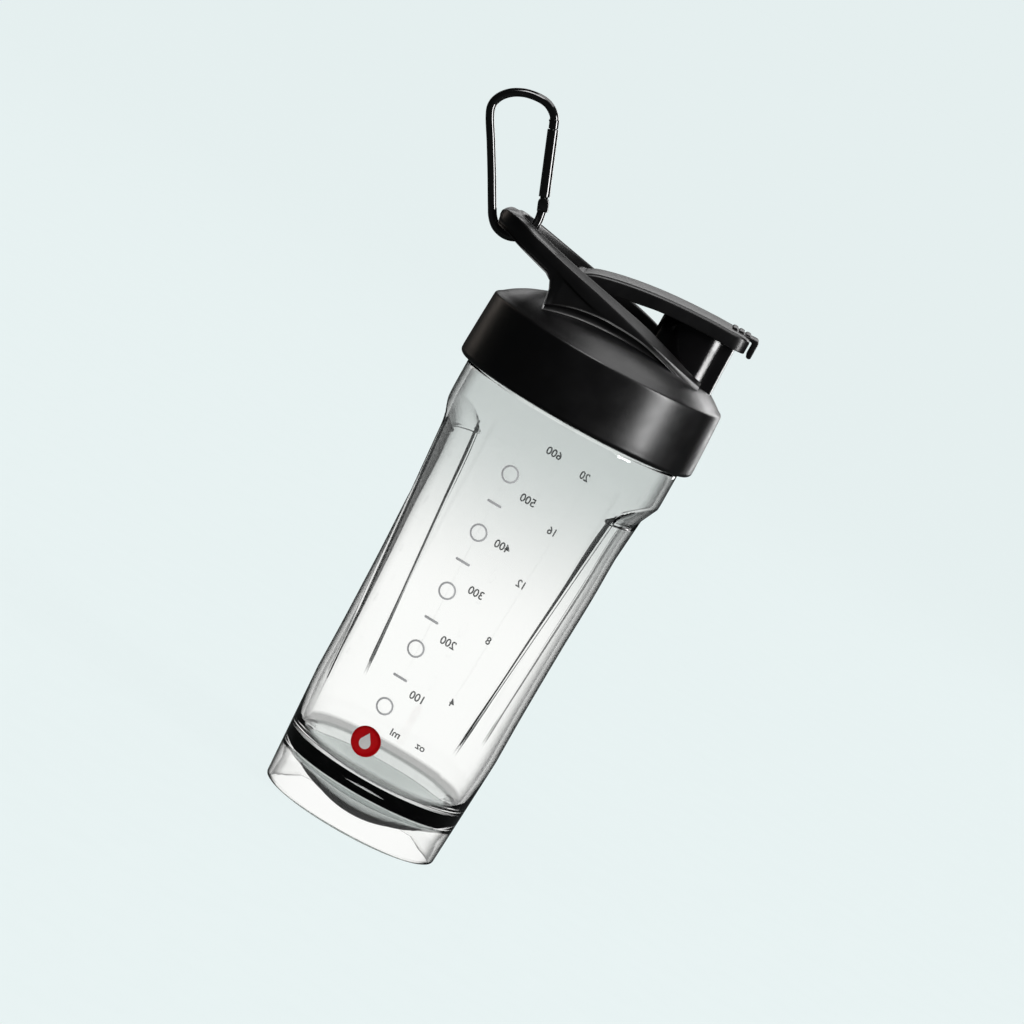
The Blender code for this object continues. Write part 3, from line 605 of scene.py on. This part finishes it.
def painted_crease_shade_at(z, angle):
    """Zero to one: the painted shade line along a grip's edge, narrower where the step is shallow."""
    half = grip_half_angle(z)
    depth = grip_depth(z, half - GRIP_STEP - 0.1)
    share = min(CREASE_NARROWEST + depth / CREASE_FULL_DEPTH, 1.0)
    if not -CREASE_OUTSIDE * share < half - angle < GRIP_STEP * share:
        return 0.0
    return min(depth / CREASE_DARK_DEPTH, 1.0)


def column_angles(z):
    """Angles round the bottle from a grip's middle, with close columns over each grip's edge."""
    half = grip_half_angle(z)
    inner = half - GRIP_STEP - 0.2
    outer = half + CREASE_OUTSIDE + 0.3
    quarter = [inner * k / 14 for k in range(14)]
    quarter += [inner + (outer - inner) * k / 11 for k in range(11)]
    quarter += [outer + (90.0 - outer) * k / 16 for k in range(17)]
    last = len(quarter) - 1
    angles = []
    for start in (0.0, 180.0):
        angles += [(start + a, a) for a in quarter[:last]]
        angles += [(start + 180.0 - a, a) for a in reversed(quarter[1:])]
    return angles


def bowl(r, centre, edge_r, edge_z):
    """Height of a shallow spherical bowl whose lowest point is at centre."""
    rise = edge_z - centre
    sphere = (edge_r ** 2 + rise ** 2) / (2 * rise)
    return centre + sphere - math.sqrt(sphere ** 2 - r ** 2)


def spread(low, high, step):
    """Even values from low up to but without high, about a step apart."""
    count = max(int(round(abs(high - low) / step)), 1)
    return [low + (high - low) * k / count for k in range(count)]


def make_bottle():
    """The clear bottle as one skin of rings: down the outside, under the floor, over it and up inside."""
    levels = (spread(172.0, GRIP_TOP_Z, 1.5) + spread(GRIP_TOP_Z, GRIP_LEDGE_Z, 0.45)
              + spread(GRIP_LEDGE_Z, 40.0, 3.0) + spread(40.0, 2.0, 4.0) + [2.0, 0.8])
    outside = arc((NECK_R - 0.8, MOUTH_Z - 0.8), 0.8, 90.0, 0.0, 4)
    outside += [(NECK_R, 190.0), (NECK_R, SHOULDER_Z + 1.6), (NECK_R + 0.1, SHOULDER_Z + 1.2)]
    outside += arc((BAND_R - 0.7, SHOULDER_Z), 0.7, 90.0, 0.0, 4) + [(BAND_R, SHOULDER_Z - 0.8)]
    outside += [(wall_radius(z), z) for z in levels]
    rim = [(BASE_R - 0.15, 0.25), (BASE_R - 0.6, 0.0), (BASE_R - 1.8, 0.0), (BASE_R - 2.1, 0.25)]
    rim += [(BASE_R - 2.15, z) for z in (1.5, 6.0, 10.0)]
    rim += [(FLOOR_JOIN_R + 0.75, 13.2), (FLOOR_JOIN_R + 0.5, 14.8), (FLOOR_JOIN_R - 0.1, 15.9)]
    under = [(r, bowl(r, FLOOR_Z, FLOOR_JOIN_R, FLOOR_JOIN_Z)) for r in spread(33.2, 2.0, 2.0) + [2.0, 0.0]]
    radii = [0.0, 2.0] + spread(4.0, 32.0, 2.0)
    over = [(r, bowl(r, FLOOR_Z + FLOOR_T, FLOOR_TOP_R, FLOOR_TOP_Z)) for r in radii]
    corners_of_floor = [(33.0, FLOOR_TOP_Z - 1.4), (33.8, FLOOR_TOP_Z - 0.5), (34.4, FLOOR_TOP_Z + 0.5),
                        (34.9, FLOOR_TOP_Z + 1.8)]
    over += [(32.0, FLOOR_TOP_Z - 2.2)] + corners_of_floor + [(35.25, FLOOR_TOP_Z + 3.4)]
    heights = [FLOOR_TOP_Z + 5.5] + [z for z in reversed(levels) if z > INSIDE_FROM_Z]
    inside = [(wall_radius(z) - WALL, z) for z in heights]
    inside += [(BAND_R - 2.5, 176.0), (BAND_R - 2.5, MOUTH_Z - 0.6), (BAND_R - 2.1, MOUTH_Z)]
    profile = outside + rim + under + over + inside
    bm = bmesh.new()
    # Painted shade stored on each vertex: a dark line along the grip edges and round the floor's corner
    painted_crease_shade = bm.verts.layers.float.new("painted_crease_shade")
    rings = []
    for radius, z in profile:
        walled = radius > wall_radius(z) - 1.5 * WALL
        corner = CORNER_CREASE if (radius, z) in corners_of_floor else 0.0
        if radius == 0.0:
            rings.append([bm.verts.new(point(0.0, 0.0, z))])
            continue
        ring = []
        for angle, from_grip in column_angles(z):
            depth = grip_depth(z, from_grip) if walled else 0.0
            turn = math.radians(angle + BOTTLE_YAW)
            reach = radius - depth
            vert = bm.verts.new(point(reach * math.cos(turn), reach * math.sin(turn), z))
            vert[painted_crease_shade] = max(painted_crease_shade_at(z, from_grip) if walled else 0.0, corner)
            ring.append(vert)
        rings.append(ring)
    for upper, lower in zip(rings, rings[1:] + rings[:1]):
        count = max(len(upper), len(lower))
        if count == 1:
            continue
        for k in range(count):
            j = (k + 1) % count
            corners = [upper[k % len(upper)], upper[j % len(upper)],
                       lower[j % len(lower)], lower[k % len(lower)]]
            bm.faces.new(list(dict.fromkeys(corners)))
    body = object_from(bm, "bottle_clear_body", weld=False)
    boolean(body, "UNION", thread_ridges("neck_thread", NECK_R, NECK_RIDGE, 0.0))
    finished(body, CLEAR, "bottle", "clear_plastic", "bottle_body", sharp=50)


def thread_ridges(name, wall, height, phase):
    """Helical ridges that stand off a wall: outward for a positive height, inward for a negative one."""
    bm = bmesh.new()
    steps = 90
    root = wall - math.copysign(RIDGE_SUNK, height)
    start_r = wall - math.copysign(RIDGE_START, height)
    for start in range(THREAD_STARTS):
        sections = []
        for step in range(steps + 1):
            share = step / steps
            turn = math.radians(phase + start * 360.0 / THREAD_STARTS + share * THREAD_TURN)
            z = THREAD_Z + THREAD_LEAD * share * THREAD_TURN / 360.0
            rise = min(1.0, min(share, 1.0 - share) / RIDGE_RUN_IN)
            crest = start_r + (height + math.copysign(RIDGE_START, height)) * rise
            corners = ((root, -RIDGE_ROOT_HALF), (crest, -RIDGE_CREST_HALF), (crest, RIDGE_CREST_HALF),
                       (root, RIDGE_ROOT_HALF))
            sections.append([bm.verts.new(point(r * math.cos(turn), r * math.sin(turn), z + dz))
                             for r, dz in corners])
        for a, b in zip(sections, sections[1:]):
            for i in range(4):
                j = (i + 1) % 4
                bm.faces.new((a[i], a[j], b[j], b[i]))
        bm.faces.new(sections[0])
        bm.faces.new(sections[-1])
    return object_from(bm, name)


# ---------------------------------------------------------------- printed marks

def on_wall(obj, middle, z0):
    """Wraps a flat mesh, laid out in millimetres, onto the bottle's outer wall round an angle in degrees."""
    for vert in obj.data.vertices:
        along, up, out = vert.co
        radius = wall_radius(z0 + up) + INK_LIFT + out
        turn = math.radians(middle) + along / wall_radius(z0)
        vert.co = point(radius * math.cos(turn), radius * math.sin(turn), z0 + up)
    obj.data.update()


def lettering(name, text, height):
    """Flat lettering centred on its own origin, in millimetres, as a thin solid."""
    curve = bpy.data.curves.new(name, "FONT")
    curve.body = text
    curve.align_x = "CENTER"
    curve.align_y = "CENTER"
    curve.size = height / CAPITAL_SHARE
    curve.extrude = INK_HALF
    curve.offset = INK_WEIGHT * curve.size
    curve.resolution_u = 6
    guide = bpy.data.objects.new(name + "_guide", curve)
    bpy.context.scene.collection.objects.link(guide)
    bpy.context.view_layer.update()
    shape = guide.evaluated_get(bpy.context.evaluated_depsgraph_get())
    mesh = bpy.data.meshes.new_from_object(shape)
    bpy.data.objects.remove(guide, do_unlink=True)
    bm = bmesh.new()
    bm.from_mesh(mesh)
    return object_from(bm, name)


def flat_solid(name, outline, lift=0.0):
    """A thin solid from a flat (u, v) outline in millimetres."""
    bm = bmesh.new()
    low = [bm.verts.new((u, v, lift - INK_HALF)) for u, v in outline]
    high = [bm.verts.new((u, v, lift + INK_HALF)) for u, v in outline]
    bm.faces.new(list(reversed(low)))
    bm.faces.new(high)
    for k in range(len(outline)):
        j = (k + 1) % len(outline)
        bm.faces.new((low[k], low[j], high[j], high[k]))
    bmesh.ops.triangulate(bm, faces=bm.faces)
    return object_from(bm, name)


def make_marks():
    """Volume marks on the back of the bottle, readable from behind."""
    columns = ((ML_ANGLE, ML_HEIGHT, ML_MARKS), (OZ_ANGLE, OZ_HEIGHT, OZ_MARKS),
               (ML_UNIT_ANGLE, ML_HEIGHT, (("ml", ML_UNIT_Z),)),
               (OZ_UNIT_ANGLE, OZ_HEIGHT, (("oz", OZ_UNIT_Z),)))
    for angle, height, marks in columns:
        for text, z in marks:
            mark = lettering("mark_" + text, text, height)
            on_wall(mark, angle, z)
            finished(mark, MARK_INK, "bottle")


def flat_frame(name, outline, hole):
    """A thin ring-shaped solid between two flat outlines with as many points each."""
    bm = bmesh.new()
    levels = ((outline, INK_HALF), (hole, INK_HALF), (hole, -INK_HALF), (outline, -INK_HALF))
    loops = [[bm.verts.new((u, v, w)) for u, v in line] for line, w in levels]
    for first, second in zip(loops, loops[1:] + loops[:1]):
        for k in range(len(first)):
            j = (k + 1) % len(first)
            bm.faces.new((first[k], first[j], second[j], second[k]))
    return object_from(bm, name)


def make_front_print():
    """A column of plain shapes and a plain disc with a drop, in place of lettering and a badge."""
    for k in range(FRONT_SHAPES):
        if k % 2 == 0:
            shape = flat_frame(f"front_shape_{k}", arc((0.0, 0.0), FRONT_RING_R, 0.0, 350.0, 35),
                               arc((0.0, 0.0), FRONT_HOLE_R, 0.0, 350.0, 35))
        else:
            end = arc((FRONT_BAR_HALF, 0.0), FRONT_BAR_R, -90.0, 90.0, 8)
            shape = flat_solid(f"front_shape_{k}", end + [(-u, v) for u, v in reversed(end)])
        on_wall(shape, FRONT_ANGLE, FRONT_LOW_Z + FRONT_PITCH * k)
        finished(shape, SILVER_INK, "bottle")
    disc = flat_solid("front_disc", arc((0.0, 0.0), DISC_R, 0.0, 356.0, 89))
    on_wall(disc, FRONT_ANGLE, DISC_Z)
    finished(disc, RED_INK, "bottle")
    drop = [(0.0, DROP_TOP)] + arc((0.0, -DROP_LOW), DROP_R, 35.0, -215.0, 30)
    symbol = flat_solid("front_drop", drop, lift=DROP_LIFT)
    on_wall(symbol, FRONT_ANGLE, DISC_Z)
    finished(symbol, WHITE_INK, "bottle")


# ---------------------------------------------------------------- lid

def dome_height(r):
    """Height of the lid's dome at a radius."""
    return curve_through(DOME, r)


def make_lid():
    """The lid's dome, collar and deck turned in one, with its spout, bore and inner thread."""
    dome = [(r, dome_height(r)) for r in [0.0] + spread(1.5, 47.4, 1.1) + [47.4]]
    edge = arc((47.7, 204.6), 1.55, 50.0, 4.0, 6)
    side = [(LID_EDGE_R, 203.6), (LID_EDGE_R + 0.4, 195.0), (LID_R - 0.1, 185.0), (LID_R, LID_LOW_Z + 3.2)]
    foot = arc((LID_R - 2.0, LID_LOW_Z + 2.0), 2.0, 10.0, -90.0, 8)
    inner = [(LID_INNER_R + 0.9, LID_LOW_Z), (LID_INNER_R + 0.4, LID_LOW_Z + 0.3),
             (LID_INNER_R, LID_LOW_Z + 1.2),
             (LID_INNER_R, SEAT_Z - 0.3), (LID_INNER_R - 0.3, SEAT_Z), (41.5, SEAT_Z)]
    inner += [(r, dome_height(r) - DECK_T) for r in spread(40.0, 2.0, 2.0) + [2.0, 0.0]]
    lid = turned("lid_dome", dome + edge + side + foot + inner, 180)
    outer = [(0.0, SPOUT_TOP_Z - 0.1), (SPOUT_BORE_R + 0.8, SPOUT_TOP_Z - 0.1)]
    outer += arc((SPOUT_R - 0.7, SPOUT_TOP_Z - 0.7), 0.7, 90.0, 0.0, 4)
    outer += [(SPOUT_R, 226.0), (SPOUT_R + 0.1, 219.0), (SPOUT_R + 0.3, 213.0), (SPOUT_R + 0.6, 206.8),
              (0.0, 206.8)]
    boolean(lid, "UNION", turned("spout_form", outer, 120, x=SPOUT_X))
    hole = [(0.0, 240.0), (SPOUT_BORE_R, 240.0), (SPOUT_BORE_R, 200.0), (0.0, 200.0)]
    boolean(lid, "DIFFERENCE", turned("bore_form", hole, 120, x=SPOUT_X))
    boolean(lid, "UNION", thread_ridges("lid_thread", LID_INNER_R, -LID_RIDGE, 360.0 / THREAD_STARTS / 2))
    finished(lid, LID_BLACK, "lid", "black_plastic", "lid_shell", sharp=32)


def loop_stations():
    """(x outer, y outer, x inner, y inner) from the end bar's middle to the loop's front end."""
    outer = smooth_path([Vector((x, y, 0.0)) for x, y in LOOP_OUTER], 10)
    inner = smooth_path([Vector((x, y, 0.0)) for x, y in LOOP_INNER], 10)

    def along(path, share):
        """The point at a share of a path's length."""
        lengths = [0.0]
        for a, b in zip(path, path[1:]):
            lengths.append(lengths[-1] + (b - a).length)
        place = share * lengths[-1]
        for k in range(len(path) - 1):
            if place <= lengths[k + 1]:
                t = (place - lengths[k]) / (lengths[k + 1] - lengths[k])
                return path[k].lerp(path[k + 1], t)
        return path[-1]

    return [(along(outer, k / 90), along(inner, k / 90)) for k in range(91)]


def make_carry_loop():
    """The loop as a lofted band with a sloping top, chamfered lower edges and a foot in the lid's dome."""
    bm = bmesh.new()
    sections = []
    for side in (-1, 1):
        stations = loop_stations()
        if side < 0:
            stations = list(reversed(stations))
        for outer, inner in stations:
            across = inner - outer
            width = across.length
            across = across / width

            def corner(inset, z):
                """A vertex of the section, set in from the outer edge."""
                place = outer + across * inset
                return bm.verts.new(point(place.x, side * place.y, z))

            x = outer.x
            high = curve_through(LOOP_HIGH, inner.x)
            shoulder = curve_through(LOOP_SHOULDER, x)
            ledge = min(curve_through(LOOP_LEDGE, x), shoulder - 1.4)
            round_in = min(1.3, width / 4)
            under = min(between(LOOP_LOW, (x + inner.x) / 2), ledge - 0.6)
            set_in = between(LOOP_SET_IN, x)
            shelf = between(LOOP_SHELF, x)
            foot = outer + across * (set_in - 0.5)
            dome = max(dome_height(math.hypot(foot.x, foot.y)), under)
            arch = min(max(curve_through(LOOP_ARCH, x), dome + 0.9), ledge - 0.7)
            fillet = min(dome + 0.8, arch - 0.55)
            bead = shelf - LOOP_BEAD * max(min((x + 31.0) / 3.0, (31.0 - x) / 3.0, 1.0), 0.0)
            # The section from its foot: under the shelf, up the outer edge, over the top and down inside.
            ring = [corner(set_in + 0.4, under), corner(set_in - 0.6, min(dome - 0.2, fillet - 0.04)),
                    corner(set_in - 0.4, min(dome + 0.2, fillet - 0.02)), corner(set_in, fillet),
                    corner(set_in, arch - 0.5), corner(bead + 0.3, arch - 0.3), corner(bead, arch),
                    corner(bead + 0.1, arch + 0.2), corner(shelf, arch + 0.62),
                    corner(shelf, max(ledge - 0.35, arch + 0.64)),
                    corner(0.12, ledge + 0.35), corner(0.0, ledge + 0.8),
                    corner(0.0, shoulder - 0.5), corner(0.12, shoulder - 0.15), corner(0.5, shoulder + 0.12),
                    corner(width - round_in - 0.5, high - 0.25), corner(width - round_in, high),
                    corner(width - 0.5, high - 0.15), corner(width - 0.1, high - 0.55),
                    corner(width, high - 1.1), corner(width, under + 1.0),
                    corner(width - 0.4, under + 0.3), corner(width - 1.2, under)]
            sections.append(ring)
    count = len(sections[0])
    for a, b in zip(sections, sections[1:]):
        for k in range(count):
            j = (k + 1) % count
            bm.faces.new((a[k], a[j], b[j], b[k]))
    bm.faces.new(sections[0])
    bm.faces.new(list(reversed(sections[-1])))
    loop = object_from(bm, "carry_loop_band")
    finished(loop, BLACK, "lid", "black_plastic", "carry_loop", sharp=38)


# ---------------------------------------------------------------- flip cap

def cap_outline(inset):
    """Half plan of the flip cap from its hinge end to the middle of its front, as (x, y)."""
    half = CAP_HALF - inset
    end = CAP_END_X - inset
    corner = CAP_CORNER - inset
    start = HINGE_X + inset
    back = [start + (CAP_WAIST_X - start) * k / 20 for k in range(20)]
    back = [(x, half - CAP_WAIST * (CAP_WAIST_X - x) / (CAP_WAIST_X - HINGE_X)) for x in back]
    side = [(CAP_WAIST_X + (end - corner - CAP_WAIST_X) * k / 16, half) for k in range(16)]
    turns = [math.radians(90.0 - 90.0 * k / 12) for k in range(13)]
    front = [(end - corner + corner * math.cos(t), half - corner + corner * math.sin(t)) for t in turns]
    return back + side + front


def cap_rows(bm, outline, heights):
    """Rows of vertices right across the cap, one row for each outline point, slightly crowned."""
    rows = []
    for x, y in outline:
        crown = CAP_CROWN * (y / CAP_HALF)
        places = [1 - 2 * k / CAP_COLUMNS for k in range(CAP_COLUMNS + 1)]
        rows.append([bm.verts.new(point(x, y * t, heights(x) + crown * (1 - t ** 2))) for t in places])
    return rows


def cap_top(x):
    """Height of the cap's upper edge."""
    return curve_through(CAP_TOP, x)


def cap_under(x):
    """Height of the cap's lower edge."""
    return curve_through(CAP_UNDER, x)


def make_flip_cap():
    """The cap as a hollow shell: walls inside and out with a rounded top edge, and two crowned plates."""
    bm = bmesh.new()

    def wall(inset, height):
        """A ring of vertices round the cap, set in from its outline."""
        half = cap_outline(inset)
        near = [bm.verts.new(point(x, -y, height(x))) for x, y in half]
        far = [bm.verts.new(point(x, y, height(x))) for x, y in half]
        return list(reversed(near)) + far

    def skin(first, second):
        """Faces between two rings."""
        count = len(first)
        for k in range(count):
            j = (k + 1) % count
            bm.faces.new((first[k], first[j], second[j], second[k]))

    rounds = [(CAP_ROUND * (1 - math.cos(math.radians(a))), CAP_ROUND * (1 - math.sin(math.radians(a))))
              for a in range(0, 90, 15)]
    rings = [wall(CAP_WALL, lambda x: cap_top(x) - CAP_PLATE), wall(CAP_WALL, lambda x: cap_under(x) + 0.3),
             wall(CAP_WALL - 0.3, cap_under), wall(0.3, cap_under), wall(0.0, lambda x: cap_under(x) + 0.3)]
    rings += [wall(inset, lambda x, drop=drop: cap_top(x) - drop) for inset, drop in rounds]
    for first, second in zip(rings, rings[1:]):
        skin(first, second)
    for ring, outline, heights in ((rings[-1], cap_outline(CAP_ROUND), cap_top),
                                   (rings[0], cap_outline(CAP_WALL), lambda x: cap_top(x) - CAP_PLATE)):
        rows = cap_rows(bm, outline, heights)
        for a, b in zip(rows, rows[1:]):
            for k in range(CAP_COLUMNS):
                bm.faces.new((a[k], a[k + 1], b[k + 1], b[k]))
        if ring is rings[-1]:
            skin(ring, [row[-1] for row in reversed(rows)] + [row[0] for row in rows])
    cap = object_from(bm, "flip_cap_shell")
    finished(cap, BLACK, "cap", "black_plastic", "flip_cap", sharp=40)


def make_cap_details():
    """The hinge barrel, the grip ribs and the thumb tab, which are one with the cap."""
    barrel = side_plate("cap_hinge_barrel", arc((HINGE_X, HINGE_Z), BARREL_R, 0.0, 345.0, 23), BARREL_HALF)
    bevel(barrel, 0.4, 2, 50.0)
    finished(barrel, BLACK, "cap", "black_plastic")
    for k, place in enumerate(TOOTH_PLACES):
        tooth = side_plate(f"cap_grip_rib_{k}", [(place + x, z) for x, z in TOOTH], TAB_HALF - 0.3)
        bevel(tooth, 0.3, 2)
        finished(tooth, BLACK, "cap", "black_plastic")
    tab = side_plate("cap_grip_pad", TAB, TAB_HALF)
    bevel(tab, 0.35, 3)
    finished(tab, BLACK, "cap", "black_plastic")


# ---------------------------------------------------------------- clip

def make_clip():
    """The bent rod, slotted in its nose and hinge end, and the gate with a tip and a tongue to suit."""
    length = math.hypot(GATE_TIP_X - PIVOT_X, GATE_TIP_Z - PIVOT_Z)
    along = Vector(((GATE_TIP_X - PIVOT_X) / length, 0.0, (GATE_TIP_Z - PIVOT_Z) / length))
    across = Vector((along.z, 0.0, -along.x))
    pivot = Vector((PIVOT_X, 0.0, PIVOT_Z))
    nose = length - NOSE_LENGTH

    def block(name, low, high):
        """A box in the gate's own directions: across it, through it and along it from the pivot."""
        bm = bmesh.new()
        bmesh.ops.create_cube(bm, size=1.0)
        for vert in bm.verts:
            a, b, c = ((low[k] + high[k]) / 2 + vert.co[k] * (high[k] - low[k]) for k in range(3))
            vert.co = point(*(pivot + across * a + Vector((0.0, b, 0.0)) + along * c))
        return object_from(bm, name)

    def straight(start, end, steps):
        """Points along the gate's middle line."""
        return [pivot + along * (start + (end - start) * k / steps) for k in range(steps + 1)]

    knots = [pivot + along * nose, pivot + along * (length + 1.8)]
    knots += [Vector((x, 0.0, z)) for x, z in CLIP_WIRE]
    knots += [pivot - along * 2.4]
    wire = tube("clip_rod", smooth_path(knots, 8), WIRE_R, 7)
    head = tube("nose_form", straight(nose + 0.02, length + 2.2, 6), GATE_R - 0.1, 7)
    bevel(head, 0.45, 2, 50.0)
    boolean(wire, "UNION", head)
    outline = [(-HINGE_R, HINGE_LOW), (HINGE_R, HINGE_LOW)] + arc((0.0, 0.0), HINGE_R, 0.0, 180.0, 24)
    places = [pivot + across * a + along * c for a, c in outline]
    cheeks = side_plate("hinge_form", [(place.x, place.z) for place in places], HINGE_R)
    bevel(cheeks, 0.5, 2, 50.0)
    boolean(wire, "UNION", cheeks)
    boolean(wire, "DIFFERENCE", block("hinge_slot_form", (-CUT_HALF, -HINGE_SLOT, HINGE_SLOT_LOW),
                                      (CUT_HALF, HINGE_SLOT, TONGUE_HIGH)))
    boolean(wire, "DIFFERENCE", block("slot_form", (-CUT_HALF, -NOSE_SLOT, nose - 1.0),
                                      (CUT_HALF, NOSE_SLOT, length + NOSE_SLOT_PAST)))
    finished(wire, CLIP_BLACK, "clip", "black_anodised", "clip_frame")
    gate = tube("clip_gate_rod", straight(GATE_LOW, nose - 0.25, 14), GATE_R, 7)
    bevel(gate, 0.4, 3, 50.0)
    boolean(gate, "UNION", block("tongue_form", (-TONGUE_HALF, 0.2 - HINGE_SLOT, TONGUE_LOW),
                                 (TONGUE_HALF, HINGE_SLOT - 0.2, TONGUE_HIGH)))
    boolean(gate, "UNION", block("tip_form", (-TIP_HALF, 0.3 - NOSE_SLOT, nose - 1.5),
                                 (TIP_HALF, NOSE_SLOT - 0.3, length + TIP_PAST)))
    finished(gate, CLIP_BLACK, "gate", "black_anodised", "clip_gate")


# ---------------------------------------------------------------- carried-over nodes

def finish_hidden_nodes():
    """Better materials for the CAD nodes whose shape is right."""
    materials = {"lid_seal": SILICONE, "spout_stopper": SILICONE, "mixing_grid": GREY_PLASTIC,
                 "cap_hinge_pin": STEEL, "gate_rivet": STEEL, "gate_catch_pin": STEEL, "gate_plunger": STEEL,
                 "gate_spring": STEEL}
    for name, material in materials.items():
        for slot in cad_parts[name].material_slots:
            slot.material = material


# ---------------------------------------------------------------- set

def make_camera():
    """The camera, which looks along +Y and down a little, and is rolled."""
    data = bpy.data.cameras.new("camera")
    data.lens = LENS
    data.sensor_width = SENSOR
    camera = bpy.data.objects.new("camera", data)
    camera.location = CAMERA_PLACE
    tilt = Matrix.Rotation(math.radians(90.0 - CAMERA_DOWN), 3, "X")
    camera.rotation_euler = (tilt @ Matrix.Rotation(math.radians(CAMERA_ROLL), 3, "Z")).to_euler()
    bpy.context.scene.collection.objects.link(camera)
    bpy.context.scene.camera = camera


def backdrop(tree):
    """Colour and strength of the surroundings: pale to the eye, white behind the bottle, dim as a light."""
    ray = tree.nodes.new("ShaderNodeLightPath")
    seen = node_of(tree, "ShaderNodeMath", operation="MAXIMUM")
    tree.links.new(ray.outputs["Is Camera Ray"], seen.inputs[0])
    tree.links.new(ray.outputs["Is Transmission Ray"], seen.inputs[1])
    level = node_of(tree, "ShaderNodeMapRange")
    level.inputs["To Min"].default_value = ROOM_LIGHT
    tree.links.new(seen.outputs["Value"], level.inputs["Value"])
    return blended(tree, ray.outputs["Is Transmission Ray"], PALE, WHITE_CARD), level.outputs["Result"]


def softbox(name, place, target, size, power, colour):
    """A rectangular soft light that only the object's own surfaces mirror."""
    data = bpy.data.lights.new(name, "AREA")
    data.shape = "RECTANGLE"
    data.size, data.size_y = size
    data.energy = power
    data.color = colour
    light = bpy.data.objects.new(name, data)
    light.location = place
    light.rotation_euler = (Vector(place) - Vector(target)).to_track_quat("Z", "Y").to_euler()
    light.visible_camera = False
    light.visible_transmission = False
    bpy.context.scene.collection.objects.link(light)


def make_set():
    """The surroundings, the floor and the lights."""
    scene = bpy.context.scene
    scene.view_settings.view_transform = "Standard"
    world = bpy.data.worlds.new("studio")
    scene.world = world
    world.use_nodes = True
    tree = world.node_tree
    colour, level = backdrop(tree)
    tree.links.new(colour, tree.nodes["Background"].inputs["Color"])
    tree.links.new(level, tree.nodes["Background"].inputs["Strength"])
    bm = bmesh.new()
    bmesh.ops.create_circle(bm, cap_ends=True, segments=96, radius=FLOOR_RADIUS)
    floor = object_from(bm, "studio_floor")
    floor.location.z = -FLOOR_DROP
    material = moulded("pale_floor", (0.02, 0.022, 0.022), (0.026, 0.028, 0.028), (0.7, 0.8), 40.0, 0.02)
    shader = material.node_tree.nodes["Principled BSDF"]
    colour, level = backdrop(material.node_tree)
    material.node_tree.links.new(colour, shader.inputs["Emission Color"])
    material.node_tree.links.new(level, shader.inputs["Emission Strength"])
    shader.inputs["Specular IOR Level"].default_value = 0.0
    floor.data.materials.append(material)
    for settings in SOFTBOXES:
        softbox(*settings)


make_camera()
make_set()
make_bottle()
make_marks()
make_front_print()
make_lid()
make_carry_loop()
make_flip_cap()
make_cap_details()
make_clip()
finish_hidden_nodes()
